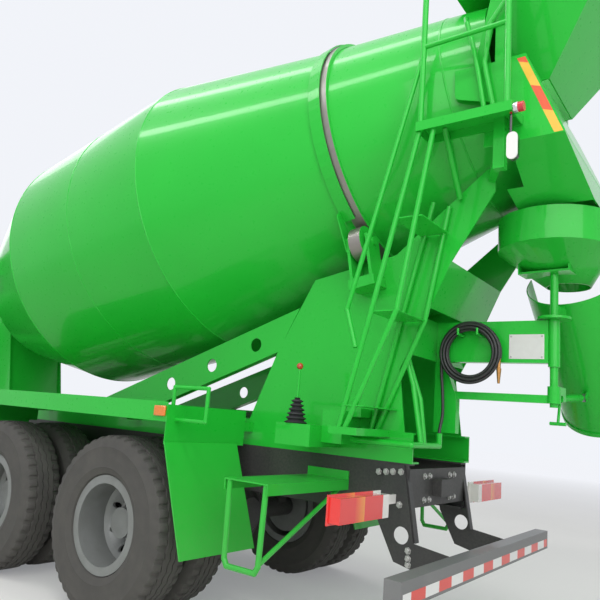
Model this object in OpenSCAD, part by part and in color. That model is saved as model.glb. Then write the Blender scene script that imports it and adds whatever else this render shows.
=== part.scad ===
// Concrete mixer truck, 6x4 chassis with a forward cab and a tilted mixing drum.
// Stations: x is measured forward from the rearmost axle, y to the left, z up from the ground.

/* [Running gear] */
// Outside diameter of a tyre
tyre_d = 1070; // [1040:2:1100]
// Half the section width of a tyre at its widest
tyre_half_w = 146; // [130:1:150]
// Diameter of the bead seat of a rim
bead_seat_d = 508; // [500:1:512]
// Diameter over the flanges of a rim
rim_flange_d = 584; // [570:1:600]
// Inside width between the flanges of a rim
rim_w = 203; // [190:1:210]
// Thickness of the rolled rim and its flanges
rim_t = 12; // [10:1:14]
// Distance between the twin tyres' centre planes
twin_pitch = 340; // [325:1:350]
// Distance between the middles of the twin wheels of an axle
rear_track = 1830; // [1810:2:1860]
// Distance between the front tyres' centre planes
front_track = 2022; // [2000:2:2050]
// From a front tyre's centre plane out to its hub face
front_offset = 130; // [110:1:140]
// Distance between the two drive axles
tandem = 1350; // [1320:5:1380]
// Distance from the front axle to the first drive axle
wheelbase = 3825; // [3700:25:4000]
// Diameter of a drive axle's tube
axle_tube_d = 150; // [130:2:170]
// Diameter of the bowl of a drive axle
axle_bowl_d = 440; // [400:5:460]
// Radius of a wheel spindle
spindle_r = 45; // [40:1:50]
// Radial running clearance of the bearings and pins
bearing_gap = 0.08; // [0.05:0.01:0.1]
// Distance from a front tyre's centre plane in to its kingpin
kingpin_inset = 161; // [155:1:170]
// Radius of a kingpin
kingpin_r = 22; // [18:1:26]
// Width of a leaf spring
spring_w = 80; // [70:1:90]
// Distance of each rear spring from the middle
spring_y = 515; // [500:1:530]

/* [Chassis] */
// Width over the frame rails
frame_w = 860; // [840:2:880]
// Height of the top of the frame rails
frame_top = 1063; // [1050:1:1080]
// Height of a frame rail
rail_h = 295; // [270:1:300]
// Width of a rail's flange
rail_flange = 80; // [70:1:90]
// Thickness of a rail's steel
rail_t = 12; // [8:1:14]
// Rear overhang of the frame rails
rear_overhang = 1645; // [1600:5:1700]
// Height of the green body frame on top of the rails
sub_h = 172; // [150:1:190]
// Width of a body frame rail
sub_flange = 85; // [75:1:95]
// Rear face of the underrun bar behind the last axle
underrun_reach = 1990; // [1950:5:2010]
// Length of the underrun bar
underrun_l = 2284; // [2200:2:2400]
// Height of the underrun bar
underrun_h = 118; // [100:1:130]
// Height of the top of the underrun bar
underrun_top = 615; // [560:1:640]

/* [Cab] */
// Distance from the front axle to the front face of the bumper
front_overhang = 1500; // [1480:5:1520]
// Width over the cab
cab_w = 2300; // [2240:10:2340]
// Height of the cab roof
cab_top = 2950; // [2900:10:3000]
// Length of the cab
cab_l = 2010; // [1980:5:2030]
// Thickness of the cab walls and doors
cab_t = 50; // [40:1:60]
// Height of the top of the cab floor
cab_floor = 1302; // [1290:1:1320]
// Gap all round a door
door_gap = 6; // [5:1:8]
// Thickness of the glass
glass_t = 6; // [5:1:8]
// Radius of the arch over a front wheel
arch_r = 700; // [690:1:710]
// Top of the front bumper
bumper_top = 720; // [700:1:722]

/* [Drum] */
// Tilt of the drum's axis
drum_tilt = 11; // [10.5:0.1:11.5]
// Station of the middle of the raceway
race_x = -1145; // [-1160:1:-1130]
// Height of the drum's axis at the raceway
race_z = 3165; // [3160:1:3180]
// Radius of the raceway
race_r = 850; // [845:1:853]
// Width of the raceway
race_w = 86; // [70:1:90]
// Thickness of the drum's shell
drum_t = 12; // [8:1:16]
// Radius of a support roller
roller_r = 110; // [100:1:120]
// Half the angle between the support rollers, seen from the drum's axis
roller_angle = 32; // [30:0.5:34]

/* [Discharge] */
// Station of the swivel post
post_x = -2320; // [-2330:1:-2310]
// Outside diameter of the swivel post
post_d = 46; // [40:1:50]
// Radius of the receiving bowl
bowl_r = 320; // [310:1:330]
// Height of the bowl's rim
bowl_top = 2540; // [2535:1:2545]
// Thickness of the chute and bowl sheet
sheet_t = 6; // [5:1:8]
// Radius of the discharge chute's trough
chute_r = 280; // [270:1:290]
// Length of the discharge chute beyond its pin
chute_l = 1000; // [950:10:1050]
// Slope of the parked chute
chute_slope = 47; // [46:0.5:48]

/* [Hidden] */
$fn = 48;

green = [0.16, 0.72, 0.2];
dark = [0.1, 0.1, 0.11];
grey = [0.55, 0.57, 0.58];
rubber = [0.07, 0.07, 0.07];
touch = 0.3;
wheel_z = tyre_d / 2;
front_x = wheelbase + tandem;
nose_x = front_x + front_overhang;
rail_y = frame_w / 2;
kingpin_y = front_track / 2 - kingpin_inset;
frame_bottom = frame_top - rail_h;
sub_top = frame_top + sub_h;
cab_back = nose_x - 35 - cab_l;
cab_front = nose_x - 35;
cab_y = cab_w / 2;
hopper_back = -2850;
mid_x = (nose_x + hopper_back) / 2;

module truck() translate([-mid_x, 0, 0]) children();
module block(low, high) translate(low) cube(high - low);
module both_sides() {
    children();
    mirror([0, 1, 0]) children();
}
// a plate cut to an outline of [x, z] points, standing along the truck from y to y + t
module side_plate(outline, y, t) translate([0, y + t, 0]) rotate([90, 0, 0]) linear_extrude(t) polygon(outline);
// a plate cut to an outline of [y, z] points, standing across the truck from x to x + t
module cross_plate(outline, x, t) translate([x, 0, 0]) rotate([90, 0, 90]) linear_extrude(t) polygon(outline);
// a round bar from p to q
module bar(p, q, d) {
    v = q - p;
    translate(p) rotate([0, acos(v.z / norm(v)), atan2(v.y, v.x)]) cylinder(h = norm(v), d = d, $fn = 24);
}
// a bent tube through the points, with a ball at each bend
module bent_tube(points, d, knob = 0.8) {
    for (i = [1:len(points) - 1]) bar(points[i - 1], points[i], d);
    for (i = [1:1:len(points) - 2]) translate(points[i]) sphere(d = d + knob, $fn = 24);
}
function arc(cx, cy, r, a0, a1, n) =
    [for (i = [0:n]) [cx + r * cos(a0 + (a1 - a0) * i / n), cy + r * sin(a0 + (a1 - a0) * i / n)]];
// the outline between two arcs about the same middle
function band(cx, cy, r0, r1, a0, a1, n) = concat(arc(cx, cy, r1, a0, a1, n), arc(cx, cy, r0, a1, a0, n));
// stands an axis that points along z out to the left or, mirrored, to the right
module facing(x, y, z, side) translate([x, side * y, z]) rotate([-90 * side, 0, 0]) children();

// Tyres and rims, drawn with their axis along z and the middle of the tyre at 0
tyre_outline = let (r = tyre_d / 2, b = rim_w / 2 - touch, s = bead_seat_d / 2 + touch, w = tyre_half_w,
        f = rim_flange_d / 2 + 1)
    [[s, -b], [f, -b], [f + 8, -b - 22], [r * 0.63, -w * 0.95], [r * 0.73, -w], [r * 0.84, -w * 0.97],
     [r * 0.93, -w * 0.88], [r - 12, -w * 0.8], [r - 3, -w * 0.7], [r, -w * 0.4],
     [r, w * 0.4], [r - 3, w * 0.7], [r - 12, w * 0.8], [r * 0.93, w * 0.88], [r * 0.84, w * 0.97],
     [r * 0.73, w], [r * 0.63, w * 0.95], [f + 8, b + 22], [f, b], [s, b]];
module tyre() rotate_extrude($fn = 64) polygon(tyre_outline);
// the rolled rim: a barrel with a flange at each end
module rim_barrel() {
    seat = bead_seat_d / 2;
    half = rim_w / 2;
    rotate_extrude($fn = 64) polygon([[seat - rim_t, -half - rim_t], [rim_flange_d / 2, -half - rim_t],
        [rim_flange_d / 2, -half], [seat, -half], [seat, half], [rim_flange_d / 2, half],
        [rim_flange_d / 2, half + rim_t], [seat - rim_t, half + rim_t]]);
}
hub_hole_r = spindle_r + bearing_gap;
hub_flange_r = 150;
drum_brake_r = 205;
// the pressed disc: hub_at is the height of its hub face, edge_at of its weld to the barrel
module wheel_disc(hub_at, edge_at) difference() {
    well = bead_seat_d / 2 - rim_t;
    rise = edge_at - hub_at;
    rotate_extrude($fn = 64) polygon([[hub_hole_r, hub_at], [hub_flange_r + 18, hub_at],
        [well - 22, hub_at + rise * 0.75], [well + 2, edge_at],
        [well + 2, edge_at + 14], [well - 26, hub_at + rise * 0.75 + 14],
        [hub_flange_r + 12, hub_at + 16], [hub_hole_r, hub_at + 16]]);
    for (i = [0:7]) rotate(i * 45 + 22.5) translate([hub_flange_r + 42, 0, hub_at + rise * 0.5])
        cylinder(h = 120, r = 21, center = true, $fn = 24);
}
// hub with its drum behind the disc and its cap in front
module hub(face_at, drum_l, nose_l, nose_r) difference() {
    union() {
        translate([0, 0, face_at - drum_l]) cylinder(h = drum_l, r = drum_brake_r);
        translate([0, 0, face_at]) cylinder(h = 30, r = nose_r + 30);
        translate([0, 0, face_at]) cylinder(h = nose_l, r = nose_r);
    }
    translate([0, 0, face_at - drum_l - 1]) cylinder(h = drum_l + nose_l - 25, r = hub_hole_r);
}
twin_drum_l = 262;
front_drum_l = 175;
module twin_rims() {
    for (s = [-1, 1]) translate([0, 0, s * twin_pitch / 2]) rim_barrel();
    wheel_disc(0, twin_pitch / 2 - rim_w / 2 + 8);
    mirror([0, 0, 1]) wheel_disc(0, twin_pitch / 2 - rim_w / 2 + 8);
    hub(0, twin_drum_l, 150, 92);
}
module twin_tyres() for (s = [-1, 1]) translate([0, 0, s * twin_pitch / 2]) tyre();
module front_rim() {
    rim_barrel();
    mirror([0, 0, 1]) wheel_disc(-front_offset, -rim_w / 2 + 30);
    hub(front_offset - 16, front_drum_l, 90, 80);
}

// Chassis
module rail_pair(x0, x1, z0, z1, y_out, flange, t) both_sides() difference() {
    block([x0, y_out - flange, z0], [x1, y_out, z1]);
    block([x0 - 1, y_out - flange - 1, z0 + t], [x1 + 1, y_out - t, z1 - t]);
}
underrun_bracket_y = [rail_y, rail_y + 12];
hook_x = -rear_overhang;
trunnion_x = tandem / 2;
rail_end = nose_x - 320;
cab_pivot = [nose_x - 225, 1020];
cab_pin_r = 20;
trunnion_z = wheel_z + 270;
module chassis_frame() color(dark) truck() difference() {
    union() {
        rail_pair(-rear_overhang, rail_end, frame_bottom, frame_top, rail_y, rail_flange, rail_t);
        // cross members: station, height above the rails' foot, depth below their top
        for (m = [[-1200, 40, 40], [-350, 40, 40], [trunnion_x, 10, 10], [1750, 40, 40], [2900, 40, 40],
                  [3700, 100, 60], [nose_x - 420, 60, 60]])
            block([m[0] - 40, -rail_y + rail_t, frame_bottom + m[1]], [m[0] + 40, rail_y - rail_t, frame_top - m[2]]);
        // rear cross member with its towing hook
        block([hook_x - 4, -rail_y + rail_t, frame_top - 245], [hook_x + 8, rail_y - rail_t, frame_top - 30]);
        block([hook_x - 60, -95, frame_top - 190], [hook_x - 4, 95, frame_top - 90]);
        // underrun brackets on the outside of the rails
        both_sides() side_plate([[-rear_overhang + 130, frame_top - 10], [-rear_overhang + 20, frame_top - 10],
            [-rear_overhang - 55, underrun_top + 28], [-underrun_reach + 85 + touch, underrun_top + 1],
            [-underrun_reach + 85 + touch, underrun_top - 6 - touch], [-underrun_reach + 6 + touch, underrun_top - 6 - touch],
            [-underrun_reach + 6 + touch, underrun_top - 100], [-rear_overhang - 50, underrun_top - 108],
            [-rear_overhang + 61, underrun_top - 84], [-rear_overhang + 172, underrun_top + 120],
            [-rear_overhang + 190, frame_bottom + 60]], rail_y, 12);
        both_sides() side_plate([[-rear_overhang + 18, frame_top - 24], [-rear_overhang + 10, frame_top - 24],
            [-rear_overhang - 63, underrun_top + 30], [-rear_overhang - 55, underrun_top + 30]], rail_y - 46, 48);
        // trunnion of the tandem springs
        both_sides() block([trunnion_x - 90, rail_y - 2, wheel_z + 40],
            [trunnion_x + 90, spring_y - spring_w / 2 - 6, frame_top - 120]);
        translate([trunnion_x, 0, trunnion_z]) rotate([90, 0, 0])
            cylinder(h = 2 * spring_y + 90, d = 110, center = true);
        both_sides() block([trunnion_x - 75, spring_y - spring_w / 2, leaf_top],
            [trunnion_x + 75, spring_y + spring_w / 2, trunnion_z]);
        // arms of the front bumper and hinge plates of the cab
        both_sides() block([rail_end - 75, rail_y - rail_flange, 580], [nose_x - 45, rail_y, 700]);
        both_sides() block([rail_end - 75, rail_y - rail_flange, 650], [rail_end, rail_y, frame_bottom + 20]);
        both_sides() side_plate([[rail_end - 160, frame_top - 10], [rail_end - 160, frame_top - 150],
            [cab_pivot.x + 20, cab_pivot.y - 38], [cab_pivot.x + 32, cab_pivot.y + 20], [cab_pivot.x - 20, cab_pivot.y + 36]],
            rail_y - rail_flange - 12, 20);
        // rear seats of the cab
        both_sides() block([cab_back + 10, rail_y - rail_flange, frame_top - 1], [cab_back + 130, 560, frame_top + 57]);
        both_sides() block([cab_back + 75, 460, frame_top + 56], [cab_back + 130, 560, cab_floor - 36 - touch]);
    }
    // lightening holes of the brackets
    both_sides() facing(-rear_overhang + 22, rail_y - 5, underrun_top + 60, 1) cylinder(h = 30, r = 47);
    translate([cab_pivot.x, 0, cab_pivot.y]) rotate([90, 0, 0])
        cylinder(h = 1000, r = cab_pin_r + bearing_gap, center = true);
    translate([hook_x - 32, 0, frame_top - 200]) cylinder(h = 120, r = tow_pin_r);
}
tow_pin_r = 20.5;
module body_frame() color(green) truck() {
    rail_pair(-rear_overhang - 22, 4250, frame_top, sub_top, rail_y, sub_flange, 10);
    for (x = [-900, 300, 1500, 2700, 3400, 4200])
        block([x - 40, -rail_y + 10, frame_top + 30], [x + 40, rail_y - 10, sub_top - 20]);
    // front stand of the drum drive: two side plates, a saddle and a brace
    both_sides() side_plate([[2950, sub_top], [3650, sub_top], race_point(saddle_x[1], saddle_z - 12),
        race_point(saddle_x[0], saddle_z - 12)], 288, 12);
    at_race() block([saddle_x[0], -300, saddle_z - 12], [saddle_x[1], 300, saddle_z]);
    side_plate([[2990, sub_top + 20], [2998, sub_top + 20], race_point(saddle_x[0] + 10, saddle_z - 200),
        race_point(saddle_x[0] + 2, saddle_z - 200)], -288, 576);
}
// the drum's drive stands on the saddle, in the drum's tilted frame
saddle_x = [4450, 4700];
saddle_z = -250;
// a point given ahead of and above the raceway's middle along the drum's axis, as [x, z] of the truck
function race_point(x, z) = [race_x + x * cos(drum_tilt) + z * sin(drum_tilt), race_z - x * sin(drum_tilt) + z * cos(drum_tilt)];

module engine_block() color(dark) truck() {
    block([4720, -325, 600], [5880, 325, 1430]);
    block([3810, -200, 640], [4720, 200, 960]);
    for (x = [3980, 5000]) block([x, -rail_y + rail_t, 850], [x + 90, rail_y - rail_t, 930]);
}

// Front axle
beam_t = 84;
eye_h = 150;
module front_axle() color(dark) truck() {
    difference() {
        union() {
            cross_plate([[-kingpin_y, wheel_z + 45], [-kingpin_y, wheel_z - 45], [-620, wheel_z - 105],
                [620, wheel_z - 105], [kingpin_y, wheel_z - 45], [kingpin_y, wheel_z + 45],
                [640, wheel_z + 10], [540, wheel_z - 20], [-540, wheel_z - 20], [-640, wheel_z + 10]], front_x - beam_t / 2, beam_t);
            both_sides() translate([front_x, kingpin_y, wheel_z - eye_h / 2]) cylinder(h = eye_h, r = 48);
        }
        both_sides() translate([front_x, kingpin_y, wheel_z - eye_h]) cylinder(h = 2 * eye_h, r = kingpin_r + bearing_gap);
    }
    // leaf springs between the beam and the rails, with their hangers
    both_sides() {
        side_plate(front_spring_outline, rail_y - rail_flange + 5, 70);
        block([front_x - 70, rail_y - rail_flange + 5, wheel_z - 30], [front_x + 70, rail_y - rail_flange + 75, front_spring_z - 40]);
        for (s = [-1, 1]) block([front_x + s * 770 - 45, rail_y - rail_flange + 5, front_spring_z + 110],
            [front_x + s * 770 + 45, rail_y - rail_flange + 75, frame_bottom]);
    }
}
front_spring_z = wheel_z + 65;
// the top of the leaf stack is an arc, and its five leaves step down to the middle
function leaf_point(i, a) = [front_x + (2412 + 12 * i) * sin(a), front_spring_z + 2400 - (2412 + 12 * i) * cos(a)];
front_spring_outline = concat(arc(front_x, front_spring_z + 2400, 2400, -109, -71, 16),
    [for (i = [0:4]) each [leaf_point(i, 19 - 3.2 * i), leaf_point(i, 15.8 - 3.2 * i)]],
    [for (i = [4:-1:0]) each [leaf_point(i, -15.8 + 3.2 * i), leaf_point(i, -19 + 3.2 * i)]]);

// Steering knuckle, drawn for the left side
lug_t = 34;
steer_arm_x = -190;
module knuckle() {
    difference() {
        union() {
            for (s = [-1, 1]) hull_lug(s);
            block([front_x - 60, kingpin_y + 56, wheel_z - eye_h / 2 - lug_t - 4], [front_x + 60, front_hub_in - 8, wheel_z + eye_h / 2 + lug_t + 4]);
            facing(front_x, front_hub_in - 20, wheel_z, 1) cylinder(h = 12, r = 150);
            facing(front_x, front_hub_in - 12, wheel_z, 1) cylinder(h = front_spindle_l, r = spindle_r);
        }
    }
    translate([front_x, kingpin_y, wheel_z - eye_h / 2 - lug_t]) cylinder(h = eye_h + 2 * lug_t, r = kingpin_r);
    // steering arm back to the track rod
    block([front_x + steer_arm_x - 20, kingpin_y - 25, wheel_z - eye_h / 2 - lug_t - 4], [front_x - 30, kingpin_y + 10, wheel_z - eye_h / 2 - 10]);
    block([front_x - 60, kingpin_y - 25, wheel_z - eye_h / 2 - lug_t - 4], [front_x + 10, kingpin_y + 60, wheel_z - eye_h / 2 - 6]);
}
module hull_lug(s) translate([front_x, kingpin_y, wheel_z + s * (eye_h / 2 + lug_t / 2 + 2)]) {
    cylinder(h = lug_t, r = 46, center = true);
    block([-46, 0, -lug_t / 2], [46, 70, lug_t / 2]);
}
front_hub_face = front_track / 2 + front_offset - 16;
front_hub_in = front_hub_face - front_drum_l;
front_spindle_l = front_drum_l + 30;
module knuckle_left() color(dark) truck() knuckle();
module knuckle_right() color(dark) truck() mirror([0, 1, 0]) knuckle();
rod_z = wheel_z - eye_h / 2 - lug_t - 4;
module track_rod() color(dark) truck() {
    bar([front_x + steer_arm_x, -kingpin_y, rod_z - 24], [front_x + steer_arm_x, kingpin_y, rod_z - 24], 36);
    both_sides() translate([front_x + steer_arm_x, kingpin_y, rod_z - 44]) cylinder(h = 40 + 3.7, r = 24);
}

// Wheels
module at_wheel(x, y, side) truck() facing(x, y, wheel_z, side) children();
module front_tyre_left() color(rubber) at_wheel(front_x, front_track / 2, 1) tyre();
module front_tyre_right() color(rubber) at_wheel(front_x, front_track / 2, -1) tyre();
module front_rim_left() color(grey) at_wheel(front_x, front_track / 2, 1) front_rim();
module front_rim_right() color(grey) at_wheel(front_x, front_track / 2, -1) front_rim();
module middle_tyres_left() color(rubber) at_wheel(tandem, rear_track / 2, 1) twin_tyres();
module middle_tyres_right() color(rubber) at_wheel(tandem, rear_track / 2, -1) twin_tyres();
module middle_rims_left() color(grey) at_wheel(tandem, rear_track / 2, 1) twin_rims();
module middle_rims_right() color(grey) at_wheel(tandem, rear_track / 2, -1) twin_rims();
module rear_tyres_left() color(rubber) at_wheel(0, rear_track / 2, 1) twin_tyres();
module rear_tyres_right() color(rubber) at_wheel(0, rear_track / 2, -1) twin_tyres();
module rear_rims_left() color(grey) at_wheel(0, rear_track / 2, 1) twin_rims();
module rear_rims_right() color(grey) at_wheel(0, rear_track / 2, -1) twin_rims();

// Drive axles with their springs and shafts
module drive_axles() color(dark) truck() {
    for (x = [0, tandem]) {
        inner = rear_track / 2 - twin_drum_l - 8;
        translate([x, 0, wheel_z]) rotate([90, 0, 0]) cylinder(h = 2 * inner, d = axle_tube_d, center = true);
        translate([x, 0, wheel_z]) rotate([90, 0, 0]) cylinder(h = 2 * rear_track / 2 + 100, r = spindle_r, center = true);
        translate([x, 0, wheel_z]) rotate([0, 90, 0]) cylinder(h = 170, d = axle_bowl_d, center = true);
        translate([x - 160, 0, wheel_z]) rotate([0, 90, 0]) cylinder(h = 80, d1 = axle_bowl_d - 200, d2 = axle_bowl_d - 40);
        translate([x + 80, 0, wheel_z + 20]) rotate([0, 90, 0]) cylinder(h = 200, d1 = 260, d2 = 130);
        both_sides() block([x - 70, spring_y - spring_w / 2, wheel_z + 40], [x + 70, spring_y + spring_w / 2, wheel_z + 100]);
    }
    translate([270, 0, wheel_z + 20]) rotate([0, 90, 0]) cylinder(h = tandem - 400, d = 100);
    translate([tandem + 265, 0, wheel_z + 20]) rotate([0, 84, 0]) cylinder(h = 2199, d = 110);
    // stack of leaves over the trunnion: half length, height above the ends
    both_sides() for (i = [0:5]) let (half = trunnion_x + 60 - 95 * i)
        block([trunnion_x - half, spring_y - spring_w / 2, leaf_foot + leaf_t * i],
            [trunnion_x + half, spring_y + spring_w / 2, leaf_foot + leaf_t * (i + 1)]);
}
leaf_foot = wheel_z + 100;
leaf_t = 18;
leaf_top = leaf_foot + 6 * leaf_t;

// Side equipment
module fuel_tank() color(grey) truck() difference() {
    union() {
        block([2450, -1060, 480], [3650, -rail_y - 30, 1010]);
        for (x = [2650, 3400]) block([x, -rail_y - 31, 800], [x + 60, -rail_y, 1000]);
    }
    block([2449, -1061, 479], [3651, -1040, 500]);
}
module air_tanks() color(dark) truck() {
    for (i = [0:2]) translate([2350 + 420 * i, 640, 800]) rotate([0, 90, 0]) cylinder(h = 395, d = 240);
    block([2350, rail_y + touch, 860], [3590, 640, 900]);
    // battery box behind the air tanks and silencer ahead of them
    block([3660, rail_y + touch, 560], [4140, 1060, 960]);
}

// Mudguards over the tandem, with their end plates, drop plates and hand loops
guard_top = 1285;
guard_out = 1220;
guard_in = 550;
module mudguards() color(green) truck() both_sides() {
    x0 = -480;
    x1 = tandem + 640;
    block([x0, guard_in, guard_top - 6], [x1, guard_out, guard_top]);
    block([x0, guard_out - 6, 1185], [x1, guard_out, 1300]);
    block([x0 - 6, guard_in - 20, 1058], [x0, guard_out, guard_top]);
    block([x1, guard_in - 20, 1058], [x1 + 6, guard_out, guard_top]);
    side_plate([[x0 - 6, 1058], [x0 - 6, 1070], [x0 - 12, 1070], [x0 - 238, 462], [x0 - 230, 460]], 600, guard_out - 600);
    side_plate([[x1 + 6, 1058], [x1 + 6, 1070], [x1 + 12, 1070], [x1 + 238, 462], [x1 + 230, 460]], 600, guard_out - 600);
    // brackets from the body frame
    for (x = [x0 + 5, trunnion_x, x1 - 65]) block([x, rail_y, 1150], [x + 60, guard_in + 30, 1210]);
    for (x = [x0 + 5, trunnion_x, x1 - 65]) block([x, guard_in, 1150], [x + 60, guard_in + 30, guard_top - 3]);
    bent_tube([[x0 + 30, 1150, guard_top - 3], [x0 + 30, 1150, 1390], [x0 - 250, 1150, 1390], [x0 - 250, 1150, 1200],
        [x0 + 9, 1150, 1200]], 24);
}

// Side step below each ladder
step_x0 = -1260;
step_x1 = -965;
step_top = 930;
module side_steps() color(green) truck() both_sides() {
    block([step_x0, rail_y + 14, step_top - 8], [step_x1, 1200, step_top]);
    block([step_x0, rail_y + 14, step_top - 58], [step_x0 + 6, 1200, step_top]);
    block([step_x1 - 6, rail_y + 14, step_top - 58], [step_x1, 1200, step_top]);
    block([step_x0, rail_y, step_top - 58], [step_x1, rail_y + 14, step_top + 50]);
    bent_tube([[step_x1 - 24, 1182, step_top - 4], [step_x1 - 34, 1182, 530], [step_x1 - 54, 1182, 496],
        [step_x0 + 54, 1182, 496], [step_x0 + 34, 1182, 530], [step_x0 + 24, 1182, step_top - 4]], 30);
    bar([step_x0 + 32, 1182, 540], [step_x0 + 32, rail_y + 7.5, step_top - 30], 26);
}
module underrun_bar() color(grey) truck() {
    difference() {
        block([-underrun_reach, -underrun_l / 2, underrun_top - underrun_h], [-underrun_reach + 85, underrun_l / 2, underrun_top]);
        block([-underrun_reach + 6, -underrun_l / 2 - 1, underrun_top - underrun_h + 6], [-underrun_reach + 86, underrun_l / 2 + 1, underrun_top - 6]);
    }
    both_sides() block([-underrun_reach, underrun_l / 2, underrun_top - underrun_h], [-underrun_reach + 85, underrun_l / 2 + 6, underrun_top]);
}
lamp_x = -1655;
module tail_lamps() color([0.8, 0.1, 0.1]) truck() {
    platform_lamps();
    rear_lamps();
}
module rear_lamps() both_sides() {
    block([lamp_x, 660, 792], [lamp_x + 62, 1140, 910]);
    block([lamp_x + 62, 640, 780], [lamp_x + 72, 1150, 922]);
    block([lamp_x + 72, rail_y + 12, 840], [lamp_x + 92, 760, 890]);
}
module platform_lamps() {
    translate([-2320, 795, deck_z + 18]) rotate([0, -90, 0]) cylinder(h = 52, r = 26);
    // oval work lamp on its stalk
    side_plate(concat(arc(-2318, 2740, 28, 0, 180, 8), arc(-2318, 2650, 28, 180, 360, 8)), 776, 34);
    bar([-2306, 793, 2760], [-2306, 793, deck_z], 14);
}

// Front bumper with the cab steps, and the lamps in it
module front_bumper() color(green) truck() {
    difference() {
        linear_z(bumper_plan, 360, bumper_top);
        block([nose_x - 180, -1100, 340], [nose_x - 45, 1100, bumper_top + 1]);
        block([nose_x - 740, -1000, 340], [nose_x - 179, 1000, bumper_top + 1]);
        both_sides() block([nose_x - 60, 700, 480], [nose_x + 1, 1060, 640]);
        both_sides() block([nose_x - 660, 1080, 440], [nose_x - 260, 1300, 660]);
    }
}
bumper_plan = concat([[nose_x - 740, -1220]], arc(nose_x - 160, -1060, 160, -90, 0, 5), arc(nose_x - 160, 1060, 160, 0, 90, 5),
    [[nose_x - 740, 1220]]);
module linear_z(plan, z0, z1) translate([0, 0, z0]) linear_extrude(z1 - z0) polygon(plan);
module headlamps() color([0.9, 0.9, 0.92]) truck() both_sides() {
    block([nose_x - 58, 700, 480], [nose_x - 12, 1060, 640]);
}

// Cab: the walls follow a side outline, a plan outline and a front outline
windscreen_foot = [cab_front - 30, 1900];
roof_front = [cab_front - 330, cab_top - 60];
cab_bottom = 800;
function cab_side(t) = [[cab_back + t, 1150], [front_x, 1150], [front_x, cab_bottom], [cab_front - t, cab_bottom],
    [cab_front - t, 1200], [windscreen_foot.x - t, windscreen_foot.y], [roof_front.x - t, roof_front.y - t * 0.3],
    [roof_front.x - 130 - t * 0.5, cab_top - t], [cab_back + 110, cab_top - t], [cab_back + t, cab_top - 90]];
function cab_plan(t) = let (r = 150 - t, y = cab_y - t) concat([[cab_back + t, -y]], arc(cab_front - t - r, -y + r, r, -90, 0, 4),
    arc(cab_front - t - r, y - r, r, 0, 90, 4), [[cab_back + t, y]]);
function cab_face(t) = let (r = 110 - t, y = cab_y - t, z = cab_top - t) concat([[-y, 700]], [[y, 700]],
    arc(y - r, z - r, r, 0, 90, 4), arc(-y + r, z - r, r, 90, 180, 4));
module cab_form(t) intersection() {
    side_plate(cab_side(t), -cab_y, cab_w);
    linear_z(cab_plan(t), 700, cab_top + 10);
    cross_plate(cab_face(t), cab_back - 10, cab_l + 20);
}
door_front = cab_front - 250;
door_back = door_front - 1080;
door_top = cab_top - 190;
door_low = 1190;
belt = 1950;
// the outline of a door, grown all round by g
function door_outline(g) = [[door_back - g, 1330 - g], [door_back + 230, door_low - g], [door_front + g, door_low - g],
    [door_front + g, belt], [door_front - 170 + g, door_top + g], [door_back - g, door_top + g]];
// the outline of a door's window, shrunk all round by g
function window_outline(g) = [[door_back + 90 + g, belt + g], [door_front - 70 - g, belt + g],
    [door_front - 235 - g, door_top - 70 - g], [door_back + 90 + g, door_top - 70 - g]];
hump_top = 1500;
hump_x = [cab_back - 1, 6010];
hump_y = 420;
module cab_shell() color(green) truck() difference() {
    union() {
        difference() {
            cab_form(0);
            difference() {
                cab_form(cab_t);
                block([cab_back, -cab_y, 700], [cab_front, cab_y, cab_floor]);
            }
            block([cab_back + 50, -cab_y + cab_t, 700], [cab_front - cab_t, cab_y - cab_t, cab_floor - 36]);
        }
        block([cab_back, -hump_y, cab_floor - 36], [hump_x[1], hump_y, hump_top]);
        // ears and pins of the cab's hinge
        both_sides() {
            block([cab_pivot.x - 32, hinge_ear_y, cab_pivot.y - 30], [cab_pivot.x + 32, hinge_ear_y + 20, cab_floor - 30]);
            translate([cab_pivot.x, hinge_ear_y, cab_pivot.y]) rotate([90, 0, 0]) cylinder(h = 38, r = cab_pin_r);
            door_hinges(0);
        }
    }
    block([cab_back - 1, -hump_y + 20, 700], [hump_x[1] - 20, hump_y - 20, hump_top - 20]);
    both_sides() translate([front_x, 600, wheel_z]) rotate([-90, 0, 0]) cylinder(h = 700, r = arch_r);
    both_sides() side_plate(door_outline(door_gap), cab_y - cab_t - 1, cab_t + 20);
    // windscreen, rear windows
    cross_plate([[-cab_y + 110, 1960], [cab_y - 110, 1960], [cab_y - 150, cab_top - 150], [-cab_y + 150, cab_top - 150]], cab_front - 420, 440);
    both_sides() block([cab_back - 1, 160, 2050], [cab_back + cab_t + 1, 620, 2550]);
    // grille slots
    for (i = [0:4]) block([cab_front - 26, -760, 1000 + 120 * i], [cab_front + 1, 760, 1075 + 120 * i]);
}
hinge_ear_y = rail_y - rail_flange + 12;
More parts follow.
